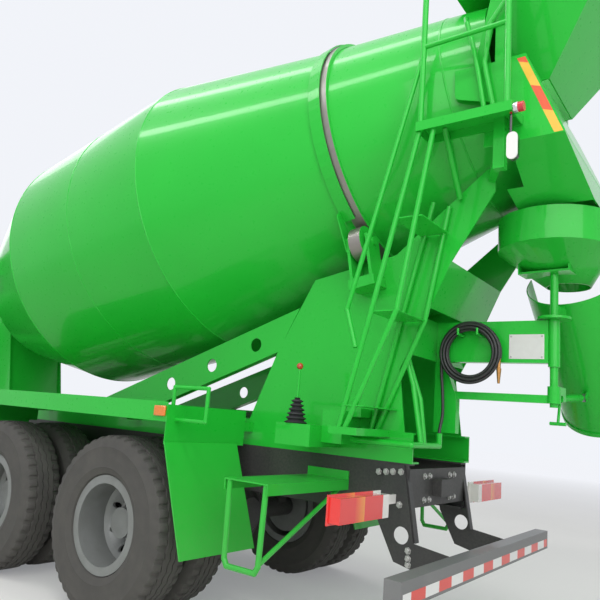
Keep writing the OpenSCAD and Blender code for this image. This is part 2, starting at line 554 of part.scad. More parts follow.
// door hinges: the cab's halves stand below, with the pins, and the door's halves turn on them
door_axis = [door_front + door_gap / 2, cab_y + 14];
hinge_z = [1320, 1860];
module door_hinges(half) for (z = hinge_z) {
    r = 12;
    if (half == 0) {
        translate([door_axis.x, door_axis.y, z - 50]) cylinder(h = 50, r = r);
        translate([door_axis.x, door_axis.y, z - 1]) cylinder(h = 50, r = 6);
        block([door_axis.x, cab_y - 2, z - 50], [door_axis.x + 60, door_axis.y + 4, z]);
    } else difference() {
        union() {
            translate([door_axis.x, door_axis.y, z + touch]) cylinder(h = 50, r = r);
            block([door_axis.x - 60, cab_y - 2, z + touch], [door_axis.x, door_axis.y + 4, z + touch + 50]);
        }
        translate([door_axis.x, door_axis.y, z - 1]) cylinder(h = 60, r = 6 + bearing_gap);
    }
}
module cab_glass() color([0.6, 0.75, 0.8]) truck() {
    intersection() {
        side_plate([windscreen_foot + [-12, 0], roof_front + [-12, 0], roof_front + [-12 - glass_t, 0], windscreen_foot + [-12 - glass_t, 0]], -cab_y, cab_w);
        cross_plate([[-cab_y + 110 + touch, 1960 + touch], [cab_y - 110 - touch, 1960 + touch],
            [cab_y - 150 - touch, cab_top - 150 - touch], [-cab_y + 150 + touch, cab_top - 150 - touch]], cab_front - 420, 440);
    }
    both_sides() block([cab_back + 20, 160 + touch, 2050 + touch], [cab_back + 20 + glass_t, 620 - touch, 2550 - touch]);
}
module door() difference() {
    union() {
        side_plate(door_outline(0), cab_y - cab_t, cab_t);
        door_hinges(1);
    }
    side_plate(window_outline(0), cab_y - cab_t - 1, cab_t + 2);
    block([door_back + 60, cab_y - 14, belt - 130], [door_back + 220, cab_y + 1, belt - 70]);
}
module door_left() color(green) truck() door();
module door_right() color(green) truck() mirror([0, 1, 0]) door();
module door_glass() side_plate(window_outline(touch), cab_y - 26, glass_t);
module door_glass_left() color([0.6, 0.75, 0.8]) truck() door_glass();
module door_glass_right() color([0.6, 0.75, 0.8]) truck() mirror([0, 1, 0]) door_glass();
module seats() color([0.25, 0.25, 0.27]) truck() both_sides() {
    block([5480, 480, cab_floor + 260], [5980, 980, cab_floor + 400]);
    side_plate([[5430, cab_floor + 400], [5560, cab_floor + 400], [5420, cab_floor + 1050], [5320, cab_floor + 1050]], 490, 480);
    block([5540, 560, cab_floor + touch], [5900, 900, cab_floor + 259.7]);
}
module dashboard() color([0.2, 0.2, 0.22]) truck() {
    side_plate([[cab_front - cab_t - 40, 1500], [cab_front - cab_t - 90, 1820], [cab_front - 330, 1860], [cab_front - 420, 1780], [cab_front - 400, 1560]], -cab_y + 160, cab_w - 320);
    translate([cab_front - 400, 730, 1760]) rotate([0, -65, 0]) cylinder(h = 90, r = 30);
    translate([cab_front - 400, 730, 1760]) rotate([0, -65, 0]) translate([0, 0, 90]) {
        rotate_extrude() translate([220, 0]) circle(r = 15, $fn = 24);
        cylinder(h = 24, r = 60);
        for (a = [90, 210, 330]) rotate(a) block([0, -16, -6], [222, 16, 8]);
    }
    block([cab_front - 420, -400, cab_floor + touch], [cab_front - 380, 400, 1600]);
}
module mirrors() color([0.2, 0.2, 0.22]) truck() both_sides() {
    block([cab_front - 250, cab_y + 90, 2050], [cab_front - 150, cab_y + 260, 2470]);
    bent_tube([[cab_front - 228, cab_y, 2400], [cab_front - 228, cab_y + 100, 2400]], 24);
    bent_tube([[cab_front - 228, cab_y, 2010], [cab_front - 228, cab_y + 150, 2010], [cab_front - 228, cab_y + 150, 2060]], 24);
}

// Drum: its profile is drawn along its own axis, x rearwards along the axis from the raceway, r outwards
module at_drum() translate([race_x, 0, race_z]) rotate([0, drum_tilt, 0]) rotate([0, -90, 0]) children();
// along the axis rearwards, outside radius
drum_profile = [[-4300, 500], [-4230, 620], [-4060, 740], [-3050, 1130], [-1394, 1157], [-43, 838], [43, 826], [740, 690], [1000, 636]];
module drum_shell() color(green) truck() at_drum() rotate_extrude($fn = 96) polygon(concat(
    [[0, drum_profile[0][0]]], [for (p = drum_profile) [p[1], p[0]]],
    [for (i = [len(drum_profile) - 1:-1:0]) [drum_profile[i][1] - drum_t, drum_profile[i][0] + (i == 0 ? drum_t : 0)]],
    [[0, drum_profile[0][0] + drum_t]]));
module raceway() color(grey) truck() at_drum() rotate_extrude($fn = 96) polygon([[839, -race_w / 2], [race_r, -race_w / 2], [race_r, race_w / 2], [828, race_w / 2]]);
drive_foot = drum_profile[0][0];
module drum_drive() color(grey) truck() {
    at_drum() {
        translate([0, 0, drive_foot - 130]) cylinder(h = 130 - touch, r = 190);
        translate([0, 0, drive_foot - 420]) cylinder(h = 290, r = 235);
        translate([0, 0, drive_foot - 640]) cylinder(h = 220, r = 110);
    }
    at_race() block([saddle_x[0], -200, saddle_z], [saddle_x[1], 200, saddle_z + 100]);
}

// Rear pedestal: side plates with a hopper arm, cross plates and the long inclined stays
pedestal_y = rail_y;
plate_t = 8;
collector_y = 640;
post_plate_x = [-2240, -2180];
frame_post_y = [collector_y, collector_y + 50];
frame_post_top = 4005;
arm_top = 1940;
module drum_pedestal() color(green) truck() {
    difference() {
        both_sides() {
            side_plate([[-437, sub_top], [-634, 1700], [-900, 2180], [-1500, 2300], [-2060, 2760], [-2108, 2760], [-2108, 2620],
                [-1860, 2230], [-1674, 1817], [-1560, 1600], [-1610, sub_top]], pedestal_y - plate_t, plate_t);
            side_plate([[640, sub_top], [1380, sub_top], [-790, 1995], [-634, 1696]], pedestal_y - plate_t, plate_t);
            side_plate([[640, sub_top], [660, sub_top], [-634, 1704], [-634, 1696]], pedestal_y - 60, 60);
        }
        for (h = [[396, 1447], [-22, 1595], [-431, 1745]]) translate([h[0], 0, h[1]]) rotate([90, 0, 0])
            cylinder(h = 1000, r = 48, center = true);
    }
    block([-640, -pedestal_y, sub_top + 5], [-632, pedestal_y, 1600]);
    side_plate([[-1860, 2230], [-1850, 2236], [-1727, 1960], [-1737, 1960]], -pedestal_y, 2 * pedestal_y);
    // cross beam of the rollers with its brackets
    at_race() block([-90, -585, beam_z - 65], [90, 585, beam_z]);
    both_sides() roller_bracket();
    // arms out to the posts of the hopper, beside the drum's mouth
    both_sides() {
        linear_z([[-2060, pedestal_y - plate_t], [-2108, pedestal_y - plate_t], [post_plate_x[0], frame_post_y[1]],
            [post_plate_x[1], frame_post_y[1]]], 2684, 2700);
        block([post_plate_x[0], frame_post_y[0], 2640], [post_plate_x[1], frame_post_y[1], frame_post_top]);
        // guard plate beside the drum's mouth and its brace
        side_plate([[-1950, 3275], [-1953, 3122], [-1962, 3100], [-1985, 3088], [-2230, 3008], [-2230, 3262]],
            frame_post_y[1] - 6, 5);
        side_plate([[-2058, 3240], [-2118, 3230], [-2232, 3850], [-2190, 3880]], frame_post_y[1] - 12, 9);
    }
}
beam_z = -1045;
function roller_mid(s) = let (r = race_r + roller_r + touch) [0, s * r * sin(roller_angle), -r * cos(roller_angle)];
module at_race() translate([race_x, 0, race_z]) rotate([0, drum_tilt, 0]) children();
module roller_bracket() {
    at_race() for (x = [-race_w / 2 - 34, race_w / 2 + 14]) difference() {
        translate(roller_mid(1)) block([x, -70, beam_z - roller_mid(1).z], [x + 20, 70, 40]);
        translate(roller_mid(1)) rotate([0, 90, 0]) cylinder(h = 400, r = 25 + bearing_gap, center = true);
    }
}
// Guard strap over the front half of the raceway, on feet beside the roller brackets
guard_r = race_r + 9;
module raceway_guard() color(green) truck() at_race() {
    cross_plate(band(0, 0, guard_r, guard_r + 8, guard_end - 90, 270 - guard_end, 56), 2, race_w / 2 + 40.3);
    both_sides() cross_plate([[545, -860], [577, -860], [650, -640], [622, -600], [573, -646], [546, -720]],
        race_w / 2 + 34 + touch, 8);
}
// how far up from the bottom the strap ends, in degrees about the drum's axis
guard_end = 41;
module roller(s) at_race() translate(roller_mid(s)) rotate([0, 90, 0]) {
    cylinder(h = race_w - 4, r = roller_r, center = true);
    cylinder(h = race_w + 90, r = 25, center = true);
}
module roller_left() color(grey) truck() roller(1);
module roller_right() color(grey) truck() roller(-1);

// Ladder and working platform on the left
ladder_y = [rail_y + 15, 800];
ladder_foot = 1240;
deck_z = 2885;
deck_y = [collector_y + 5, 830];
module access_ladder() color(green) truck() {
    // stringers: side, foot, knee and top as [x, z]
    for (m = [[ladder_y[0], [-1400, ladder_foot], [-1560, 1880], [-1740, 2600]], [ladder_y[0], [-1440, ladder_foot], [-1715, 1880], [-1840, 2560]],
              [ladder_y[1], [-1400, ladder_foot], [-1560, 1880], [-1800, deck_z]], [ladder_y[1], [-1440, ladder_foot], [-1715, 1880], [-1885, deck_z]]])
        bent_tube([[m[1].x, m[0], m[1].y], [m[2].x, m[0], m[2].y], [m[3].x, m[0], m[3].y]], 30, 0);
    // treads: front, back and height
    for (t = [[-1540, -1720, 1880], [-1665, -1840, 2400]]) block([t[1], ladder_y[0], t[2] - 6], [t[0], ladder_y[1], t[2]]);
    block([-1560, ladder_y[0] - 10, 1355], [-1415, ladder_y[1] + 15, 1361]);
    block([-1520, rail_y, ladder_foot - 40], [-1340, ladder_y[1] + 15, ladder_foot]);
    // deck with a turned-down edge, notched round the hopper's post
    difference() {
        block([-2320, deck_y[0], deck_z - 5], [-1790, deck_y[1], deck_z + 50]);
        block([-2314, deck_y[0] + 6, deck_z - 10], [-1796, deck_y[1] - 6, deck_z + 44]);
        block([post_plate_x[0], frame_post_y[0] - 10, deck_z - 10], [post_plate_x[1], frame_post_y[1], deck_z + 60]);
    }
    bar([-1905, 700, deck_z + 46], [-1905, pedestal_y + 15, 2600], 34);
    for (x = [-1810, -2290]) bar([x, 812, deck_z], [x, 812, 3850], 34);
    bar([-1810, 812, 3400], [-2290, 812, 3400], 28);
    bar([-1810, 812, 3840], [-2290, 812, 3840], 28);
    // slanted hand rail down to the front stringer
    bent_tube([[-1809, 812, 3350], [-1410, 812, 1890], [-1480, 812, 1673]], 27);
}

// Feed hopper over the drum's mouth
hopper_z = [3330, 4040];
hopper_top = [[hopper_back, -560], [-2055, -560], [-2055, 560], [hopper_back, 560]];
hopper_low = [[-2360, -280], [-2115, -280], [-2115, 280], [-2360, 280]];
hopper_t = 8;
module funnel(top, z1, low, z0) hull() {
    translate([0, 0, z1 - 1]) linear_extrude(1) polygon(top);
    translate([0, 0, z0]) linear_extrude(1) polygon(low);
}
// an outline drawn in by t on all four sides
function inset(o, t) = [[o[0].x + t, o[0].y + t], [o[1].x - t, o[1].y + t], [o[2].x - t, o[2].y - t], [o[3].x + t, o[3].y - t]];
module feed_hopper() color(green) truck() difference() {
    union() {
        funnel(hopper_top, hopper_z[1], hopper_low, hopper_z[0]);
        // apron over the drum and ears on the posts
        block([-2070, -560, hopper_z[1] - 25], [-1800, 560, hopper_z[1]]);
        block([-1806, -560, hopper_z[1] - 25], [-1800, 560, hopper_z[1] + 20]);
        both_sides() block([post_plate_x[0] - 10, 480, frame_post_top], [post_plate_x[1] + 10, frame_post_y[1], frame_post_top + 8]);
    }
    funnel(inset(hopper_top, hopper_t), hopper_z[1] + 1, inset(hopper_low, hopper_t), hopper_z[0] - 1);
    block([-2100, -560 + hopper_t, hopper_z[1] - 17], [-1806, 560 - hopper_t, hopper_z[1] + 1]);
}
// Collector behind the drum's mouth
collector_mid = 2800;
collector_low = collector_mid - 240;
module discharge_collector() color(green) truck() difference() {
    y = collector_y;
    t = 8;
    union() {
        hull() {
            block([-2330, -y, 3290], [-2160, y, 3300]);
            block([-2530, -y, collector_mid], [-2110, y, collector_mid + 10]);
        }
        hull() {
            block([-2530, -y, collector_mid], [-2110, y, collector_mid + 1]);
            block([-2590, -250, collector_low], [-2180, 250, collector_low + 1]);
        }
    }
    hull() {
        block([-2330 + t, -y + t, 3292], [-2100, y - t, 3301]);
        block([-2530 + t, -y + t, collector_mid], [-2060, y - t, collector_mid + 10]);
    }
    hull() {
        block([-2530 + t, -y + t, collector_mid], [-2110 - t, y - t, collector_mid + 2]);
        block([-2590 + t, -250 + t, collector_low - 1], [-2180 - t, 250 - t, collector_low]);
    }
    // the front wall ends below the drum's shell
    block([-2250, -y + t, collector_low + 80], [-2050, y - t, collector_mid + 20]);
}

// Swivel arm: box plate from the pedestal back to the post's sleeve
sleeve_z = [1670, 1945];
foot_z = [1462, 1508];
module swivel_arm() color(green) truck() {
    difference() {
        union() {
            block([post_x + 25, -30, 1690], [-1606, 30, arm_top]);
            translate([post_x, 0, sleeve_z[0]]) cylinder(h = sleeve_z[1] - sleeve_z[0], d = post_d + 20);
            block([post_x + 20, -20, foot_z[0]], [-1606, 20, foot_z[1]]);
            translate([post_x, 0, foot_z[0]]) cylinder(h = foot_z[1] - foot_z[0], d = post_d + 30);
            side_plate([[-1606, 1250], [-1606, 1700], [-1660, 1700], [-1750, 1470], [-1750, 1250]], -28, 56);
            cross_plate([[-pedestal_y + plate_t, 1690], [pedestal_y - plate_t, 1690], [pedestal_y - plate_t, arm_top],
                [-pedestal_y + plate_t, arm_top]], -1612, 12);
            // hooks of the hose coil
            for (x = [-60, 60]) bent_tube([[coil_mid.x + x, 29, coil_hook_z], [coil_mid.x + x, 132, coil_hook_z],
                [coil_mid.x + x, 132, coil_hook_z + 36]], 14);
        }
        translate([post_x, 0, 1400]) cylinder(h = 700, d = post_d + 2 * bearing_gap);
    }
}
// The chute's direction is drawn along -y and turned rearwards about the post
chute_turn = -5;
chute_pin = [-105, 2005];
pin_r = 12;
keel_gap = 45;
bowl_foot = [-250, 2190];
bowl_waist = 2350;
bowl_foot_r = 130;
jack_foot = [-75, 1495];
jack_pin_r = 9;
module at_post() translate([post_x, 0, 0]) rotate(chute_turn) children();
module bowl_form(t) {
    translate([0, 0, bowl_waist]) cylinder(h = bowl_top - bowl_waist, r = bowl_r - t);
    hull() {
        translate([0, 0, bowl_waist - 1]) cylinder(h = 2, r = bowl_r - t, $fn = 40);
        translate([0, bowl_foot.x, bowl_foot.y]) cylinder(h = 2, r = bowl_foot_r - t, $fn = 40);
    }
}
module chute_post() color(green) truck() at_post() {
    difference() {
        union() {
            translate([0, 0, 1440]) cylinder(h = 790, d = post_d);
            translate([0, 0, sleeve_z[1] + touch]) cylinder(h = 14, r = 95);
            translate([0, 0, foot_z[1] + touch]) cylinder(h = 50, d = post_d + 26);
            // head plate with the cheeks that carry the bowl
            block([-105, -70, 2222], [195, 60, 2234]);
            for (x = [-105, 187]) block([x, -70, 2222], [x + 8, 60, 2360]);
            bowl_form(0);
            // plates of the chute's pin and of the jack's pin
            for (s = [-1, 1]) block([s * 22 - 5, chute_pin.x - 22, chute_pin.y - 28], [s * 22 + 5, 0, chute_pin.y + 22]);
            for (s = [-1, 1]) {
                block([s * 30 - 5, jack_foot.x - 16, foot_z[1] + 2], [s * 30 + 5, 0, foot_z[1] + 50]);
                block([s * 30 - 5, jack_foot.x - 16, jack_foot.y - 16], [s * 30 + 5, -48, foot_z[1] + 3]);
            }
        }
        translate([0, 0, 1]) bowl_form(sheet_t);
        translate([0, bowl_foot.x, bowl_foot.y - 5]) cylinder(h = 12, r = bowl_foot_r - sheet_t);
        translate([0, chute_pin.x, chute_pin.y]) rotate([0, 90, 0]) cylinder(h = 80, r = pin_r + bearing_gap, center = true);
        translate([0, jack_foot.x, jack_foot.y]) rotate([0, 90, 0]) cylinder(h = 80, r = jack_pin_r + bearing_gap, center = true);
    }
}
// the trough, drawn along x from its pin, its keel above the pin and its open side up
module trough() {
    difference() {
        union() {
            translate([-30, 0, keel_gap + chute_r]) rotate([0, 90, 0]) cylinder(h = chute_l + 30, r = chute_r);
            block([-30, -chute_r, keel_gap + chute_r], [chute_l, chute_r, keel_gap + chute_r + 60]);
            translate([chute_l - 30, 0, keel_gap + chute_r]) rotate([0, 90, 0]) cylinder(h = 30, r = chute_r + 8);
        }
        translate([-31, 0, keel_gap + chute_r]) rotate([0, 90, 0]) cylinder(h = chute_l + 40, r = chute_r - sheet_t);
        block([-31, -chute_r + sheet_t, keel_gap + chute_r], [chute_l + 40, chute_r - sheet_t, keel_gap + chute_r + 100]);
        block([-31, -chute_r - 10, keel_gap + chute_r + 60], [chute_l + 40, chute_r + 10, keel_gap + 2 * chute_r + 20]);
    }
    // lugs with their pins, under the keel
    for (x = [0, jack_reach]) {
        r = x == 0 ? pin_r : jack_pin_r;
        difference() {
            block([x - 20, -16, -14], [x + 20, 16, keel_gap + 2]);
            if (x > 0) block([x - 21, -10, -15], [x + 21, 10, keel_gap - 1]);
        }
        translate([x, 0, 0]) rotate([90, 0, 0]) cylinder(h = x == 0 ? 56 : 32, r = r, center = true);
    }
}
jack_reach = 640;
module discharge_chute() color(green) truck() at_post() translate([0, chute_pin.x, chute_pin.y])
    rotate([0, 0, -90]) rotate([0, chute_slope, 0]) trough();
// Screw jack from the post's foot to the chute's keel
jack_tip = [chute_pin.x - jack_reach * cos(chute_slope), chute_pin.y - jack_reach * sin(chute_slope)];
jack_span = norm(jack_tip - jack_foot);
jack_rise = atan2(jack_tip.y - jack_foot.y, jack_foot.x - jack_tip.x);
// drawn along x from the foot pin to the tip
module at_jack() at_post() translate([0, jack_foot.x, jack_foot.y]) rotate([0, 0, -90]) rotate([0, -jack_rise, 0]) children();
rod_r = 13;
barrel_l = 390;
jack_eye_r = 27;
// play of the rod's eye on the chute's pin
eye_gap = 8.5;
module jack_barrel() color(green) truck() at_jack() {
    difference() {
        union() {
            rotate([0, 90, 0]) cylinder(h = barrel_l, r = 22);
            rotate([90, 0, 0]) cylinder(h = 48, r = 22, center = true);
        }
        translate([30, 0, 0]) rotate([0, 90, 0]) cylinder(h = barrel_l, r = rod_r + bearing_gap);
    }
    rotate([90, 0, 0]) cylinder(h = 70, r = jack_pin_r, center = true);
    // crank and its grip
    translate([28, 0, 0]) rotate([0, 200, 0]) cylinder(h = 150, d = 16);
    translate([28 - 150 * sin(20), 0, -150 * cos(20)]) rotate([90, 0, 0]) cylinder(h = 90, d = 20, center = true);
}
module jack_rod() color(grey) truck() at_jack() difference() {
    union() {
        translate([60, 0, 0]) rotate([0, 90, 0]) cylinder(h = jack_span - 60 - jack_eye_r + 2, r = rod_r);
        translate([jack_span, 0, 0]) rotate([90, 0, 0]) cylinder(h = 18, r = jack_eye_r, center = true);
    }
    translate([jack_span, 0, 0]) rotate([90, 0, 0]) cylinder(h = 40, r = jack_pin_r + eye_gap, center = true);
}

// Water hose: a coil on hooks, its tail down to the valve and its nozzle
hose_r = 9.5;
coil_mid = [-1850, 84, 1740];
coil_r = 165;
coil_bundle = 32;
coil_hook_z = coil_mid.z + 110;
module hose_coil() color(rubber) truck() translate(coil_mid) rotate([90, 0, 0]) rotate_extrude()
    translate([coil_r, 0]) circle(r = coil_bundle, $fn = 24);
// a smooth run through round points, and the tube swept along it
tail_points = [[-1690, 84, 1700], [-1685, 84, 1600], [-1690, 90, 1480], [-1700, 110, 1360], [-1700, 140, 1280], [-1700, 150, 1245]];
function spline(p, i, t) = let (a = p[max(i - 1, 0)], b = p[i], c = p[i + 1], d = p[min(i + 2, len(p) - 1)])
    0.5 * (2 * b + (c - a) * t + (2 * a - 5 * b + 4 * c - d) * t * t + (3 * b - a - 3 * c + d) * t * t * t);
function run(p, n) = [for (i = [0:len(p) - 2]) for (j = [0:n - 1]) spline(p, i, j / n), p[len(p) - 1]];
module sweep(path, r, sides) {
    m = len(path);
    rings = [for (i = [0:m - 1]) let (d = path[min(i + 1, m - 1)] - path[max(i - 1, 0)], t = d / norm(d),
        u = cross([0, 1, 0], t) / norm(cross([0, 1, 0], t)), v = cross(t, u))
        each [for (k = [0:sides - 1]) path[i] + r * (cos(360 * k / sides) * u + sin(360 * k / sides) * v)]];
    polyhedron(rings, concat([[for (k = [0:sides - 1]) k]], [[for (k = [sides - 1:-1:0]) (m - 1) * sides + k]],
        [for (i = [0:m - 2]) for (k = [0:sides - 1]) let (a = i * sides + k, b = i * sides + (k + 1) % sides)
            [a, a + sides, b + sides, b]]));
}
module hose_tail() color(rubber) truck() sweep(run(tail_points, 4), hose_r, 10);
module hose_nozzle() color([0.8, 0.4, 0.1]) truck() {
    translate([-2030, 84, 1648]) cylinder(h = 60, r = 11);
    translate([-2030, 84, 1560]) cylinder(h = 88, r1 = 7, r2 = 15);
}

// Control box with its lever
module control_box() color(green) truck() {
    block([-1180, rail_y, 1110], [-930, 760, 1235]);
    block([-1320, rail_y, 1140], [-1180, 640, 1330]);
    block([-1392, rail_y, 1300], [-1180, 560, 1352]);
    bar([-1030, 700, 1235], [-1030, 700, 1560], 16);
    translate([-1030, 700, 1575]) sphere(r = 20);
}
// Water tank behind the cab and the pipes to the hopper
module water_tank() color(green) truck() {
    translate([4150, 0, 1950]) rotate([90, 0, 0]) cylinder(h = 1500, r = 260, center = true);
    both_sides() block([4080, 300, sub_top], [4220, 400, 1720]);
}
module water_pipes() color(green) truck() {
    bent_tube([[-1320, 520, 1170], [-1700, 520, 1170], [-1700, 150, 1170], [-1700, 150, 1245]], 36);
    // two risers inside the pedestal, up to the beam of the rollers
    bent_tube([[-1700, 357, 1178], [-1694, 357, 1230], [-1666, 357, 1428], [-1580, 357, 1661], [-1515, 357, 1843], [-1430, 357, 2075]], 30);
    bent_tube([[-1700, 400, 1178], [-1692, 400, 1230], [-1638, 400, 1510], [-1558, 400, 1744], [-1430, 400, 2075]], 30);
    // two pipes from the platform to the drum's mouth and the hopper
    z0 = deck_z + 50 + touch;
    bent_tube([[-2140, 722, z0], [-2140, 722, 2965], [-2099, 722, 3216], [-2059, 722, 3403], [-2025, 720, 3534], [-1990, 650, 3620]], 28);
    bent_tube([[-2190, 722, z0], [-2190, 722, 2965], [-2145, 722, 3190], [-2134, 722, 3255], [-2160, 722, 3488], [-2248, 722, 3606], [-2350, 722, 3760]], 28);
}

chassis_frame();
body_frame();
engine_block();
front_axle();
drive_axles();
knuckle_left();
knuckle_right();
track_rod();
front_tyre_left();
front_tyre_right();
front_rim_left();
front_rim_right();
middle_tyres_left();
middle_tyres_right();
middle_rims_left();
middle_rims_right();
rear_tyres_left();
rear_tyres_right();
rear_rims_left();
rear_rims_right();
fuel_tank();
air_tanks();
front_bumper();
headlamps();
tail_lamps();
cab_shell();
cab_glass();
door_left();
door_right();
door_glass_left();
door_glass_right();
seats();
dashboard();
mirrors();
mudguards();
side_steps();
underrun_bar();
drum_shell();
raceway();
drum_drive();
drum_pedestal();
roller_left();
roller_right();
access_ladder();
feed_hopper();
discharge_collector();
swivel_arm();
chute_post();
discharge_chute();
jack_barrel();
jack_rod();
hose_coil();
hose_tail();
hose_nozzle();
control_box();
water_tank();
water_pipes();
raceway_guard();
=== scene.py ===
import math
import bmesh
import bpy
import numpy as np
from mathutils import Matrix


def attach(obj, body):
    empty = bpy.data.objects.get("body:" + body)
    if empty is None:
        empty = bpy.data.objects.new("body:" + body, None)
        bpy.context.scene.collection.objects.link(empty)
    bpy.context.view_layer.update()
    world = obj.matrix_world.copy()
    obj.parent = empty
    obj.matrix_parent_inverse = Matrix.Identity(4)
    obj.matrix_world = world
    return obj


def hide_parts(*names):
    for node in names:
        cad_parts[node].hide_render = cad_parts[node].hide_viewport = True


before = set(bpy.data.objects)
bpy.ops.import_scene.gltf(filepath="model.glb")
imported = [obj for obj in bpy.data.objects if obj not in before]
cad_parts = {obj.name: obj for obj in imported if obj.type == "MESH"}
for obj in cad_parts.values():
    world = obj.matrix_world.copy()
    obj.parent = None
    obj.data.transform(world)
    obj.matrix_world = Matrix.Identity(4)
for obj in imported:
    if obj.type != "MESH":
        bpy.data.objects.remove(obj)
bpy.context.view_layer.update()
bpy.context.scene.view_settings.view_transform = "Standard"

# The photograph's view: a camera standing low behind the left rear corner, looking
# forward and up along the drum, level with the road but leaning a little to one side.


def stand(thing, right, up, back, where):
    """puts a camera or lamp in the scene, given its own x, y and z axes and its place"""
    pose = np.eye(4)
    pose[:3] = np.column_stack([right, up, back, where])
    thing.matrix_world = Matrix(pose.tolist())
    bpy.context.scene.collection.objects.link(thing)


eye = np.array([-5.1595, 3.6981, 1.2700])
yaw, pitch, roll = np.radians([-53.005, 10.807, 4.687])
focal_length, photo_width, film_width = 614.06, 600, 36
ahead = np.array([np.cos(pitch) * np.cos(yaw), np.cos(pitch) * np.sin(yaw), np.sin(pitch)])
level = np.cross(ahead, [0, 0, 1]) / np.linalg.norm(np.cross(ahead, [0, 0, 1]))
upward = np.cross(level, ahead)
view = bpy.data.objects.new("photo_view", bpy.data.cameras.new("photo_view"))
stand(view, level * np.cos(roll) + upward * np.sin(roll), -level * np.sin(roll) + upward * np.cos(roll), -ahead, eye)
view.data.lens = focal_length / photo_width * film_width
view.data.clip_end = 200
bpy.context.scene.camera = view


class Wire:
    """One socket of a material. Sums written with it add the material's own Math nodes."""

    def __init__(self, tree, socket):
        self.tree, self.socket = tree, socket

    def node(self, kind, settings=(), out=0, **sockets):
        """adds a node: its settings first, then its sockets' values or wires (a_0 is socket 0)"""
        made = self.tree.nodes.new(kind)
        for name, value in dict(settings).items():
            if name == "stops":
                ramp = made.color_ramp.elements
                for spot, (at, colour) in enumerate(value):
                    stop = ramp[spot] if spot < 2 else ramp.new(at)
                    stop.position, stop.color = at, colour
            else:
                setattr(made, name, value)
        for name, value in sockets.items():
            key = int(name[2:]) if name[:2] == "a_" else name
            if isinstance(value, Wire):
                self.tree.links.new(value.socket, made.inputs[key])
            else:
                made.inputs[key].default_value = value
        return Wire(self.tree, made.outputs[out])

    def sum(self, operation, *values):
        return self.node("ShaderNodeMath", {"operation": operation},
                         **{f"a_{place}": value for place, value in enumerate(values)})

    def __add__(self, other): return self.sum("ADD", self, other)
    def __radd__(self, other): return self.sum("ADD", other, self)
    def __sub__(self, other): return self.sum("SUBTRACT", self, other)
    def __rsub__(self, other): return self.sum("SUBTRACT", other, self)
    def __mul__(self, other): return self.sum("MULTIPLY", self, other)
    def __rmul__(self, other): return self.sum("MULTIPLY", other, self)
    def __truediv__(self, other): return self.sum("DIVIDE", self, other)

    def size(self): return self.sum("ABSOLUTE", self)
    def wave(self): return self.sum("SINE", self)
    def fraction(self): return self.sum("FRACT", self)
    def below(self, limit): return self.sum("LESS_THAN", self, limit)
    def past(self, limit): return self.sum("GREATER_THAN", self, limit)
    def larger(self, other): return self.sum("MAXIMUM", self, other)
    def clip(self): return self.node("ShaderNodeClamp", Value=self)
    def axis(self, letter): return self.node("ShaderNodeSeparateXYZ", out="XYZ".index(letter), Vector=self)
    def noise(self, scale, detail=3.0): return self.node("ShaderNodeTexNoise", Vector=self, Scale=scale, Detail=detail)
    def blend(self, first, second):
        return self.node("ShaderNodeMix", {"data_type": "RGBA"}, out=2, a_0=self, a_6=first, a_7=second)
    def bump(self, strength, distance):
        return self.node("ShaderNodeBump", Height=self, Strength=strength, Distance=distance)


def material(name, **finish):
    """a new material with its shader's fixed finish, the shader and the piece's own coordinates"""
    made = bpy.data.materials.new(name)
    made.use_nodes = True
    shader = made.node_tree.nodes["Principled BSDF"]
    for socket, value in finish.items():
        shader.inputs[socket.replace("_", " ")].default_value = value
    place = made.node_tree.nodes.new("ShaderNodeTexCoord")
    return made, shader, Wire(made.node_tree, place.outputs["Object"])


def feed(shader, **wires):
    """links what changes over the surface to the shader's sockets"""
    for socket, wire in wires.items():
        wire.tree.links.new(wire.socket, shader.inputs[socket.replace("_", " ")])


def dress(finish, *nodes):
    """gives a finish to the frame's own nodes"""
    for name in nodes:
        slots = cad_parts[name].data.materials
        slots.clear()
        slots.append(finish)


def grid(n, m, wrap_n=False, wrap_m=False):
    """the corners of each cell of an n by m grid of points, as rows of four indices"""
    a, b = np.meshgrid(np.arange(n if wrap_n else n - 1), np.arange(m if wrap_m else m - 1), indexing="ij")
    c, d = (a + 1) % n, (b + 1) % m
    return np.stack([a * m + b, c * m + b, c * m + d, a * m + d], -1).reshape(-1, 4)


def piece(name, points, faces, finish, body, slot, crease=35, bevel=0.0):
    """a mesh from arrays of points and faces; doubles are merged and the faces turned outwards"""
    mesh = bpy.data.meshes.new(name)
    mesh.from_pydata(np.asarray(points).reshape(-1, 3).tolist(), [], np.asarray(faces).tolist())
    form = bmesh.new()
    form.from_mesh(mesh)
    bmesh.ops.remove_doubles(form, verts=form.verts, dist=1e-5)
    bmesh.ops.recalc_face_normals(form, faces=form.faces)
    form.to_mesh(mesh)
    form.free()
    mesh.shade_smooth()
    mesh.set_sharp_from_angle(angle=math.radians(crease))
    mesh.materials.append(finish)
    made = bpy.data.objects.new(name, mesh)
    bpy.context.scene.collection.objects.link(made)
    if bevel:
        edge = made.modifiers.new("edges", "BEVEL")
        edge.width, edge.segments, edge.limit_method, edge.angle_limit = bevel, 2, "ANGLE", math.radians(50)
    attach(made, body)
    return made


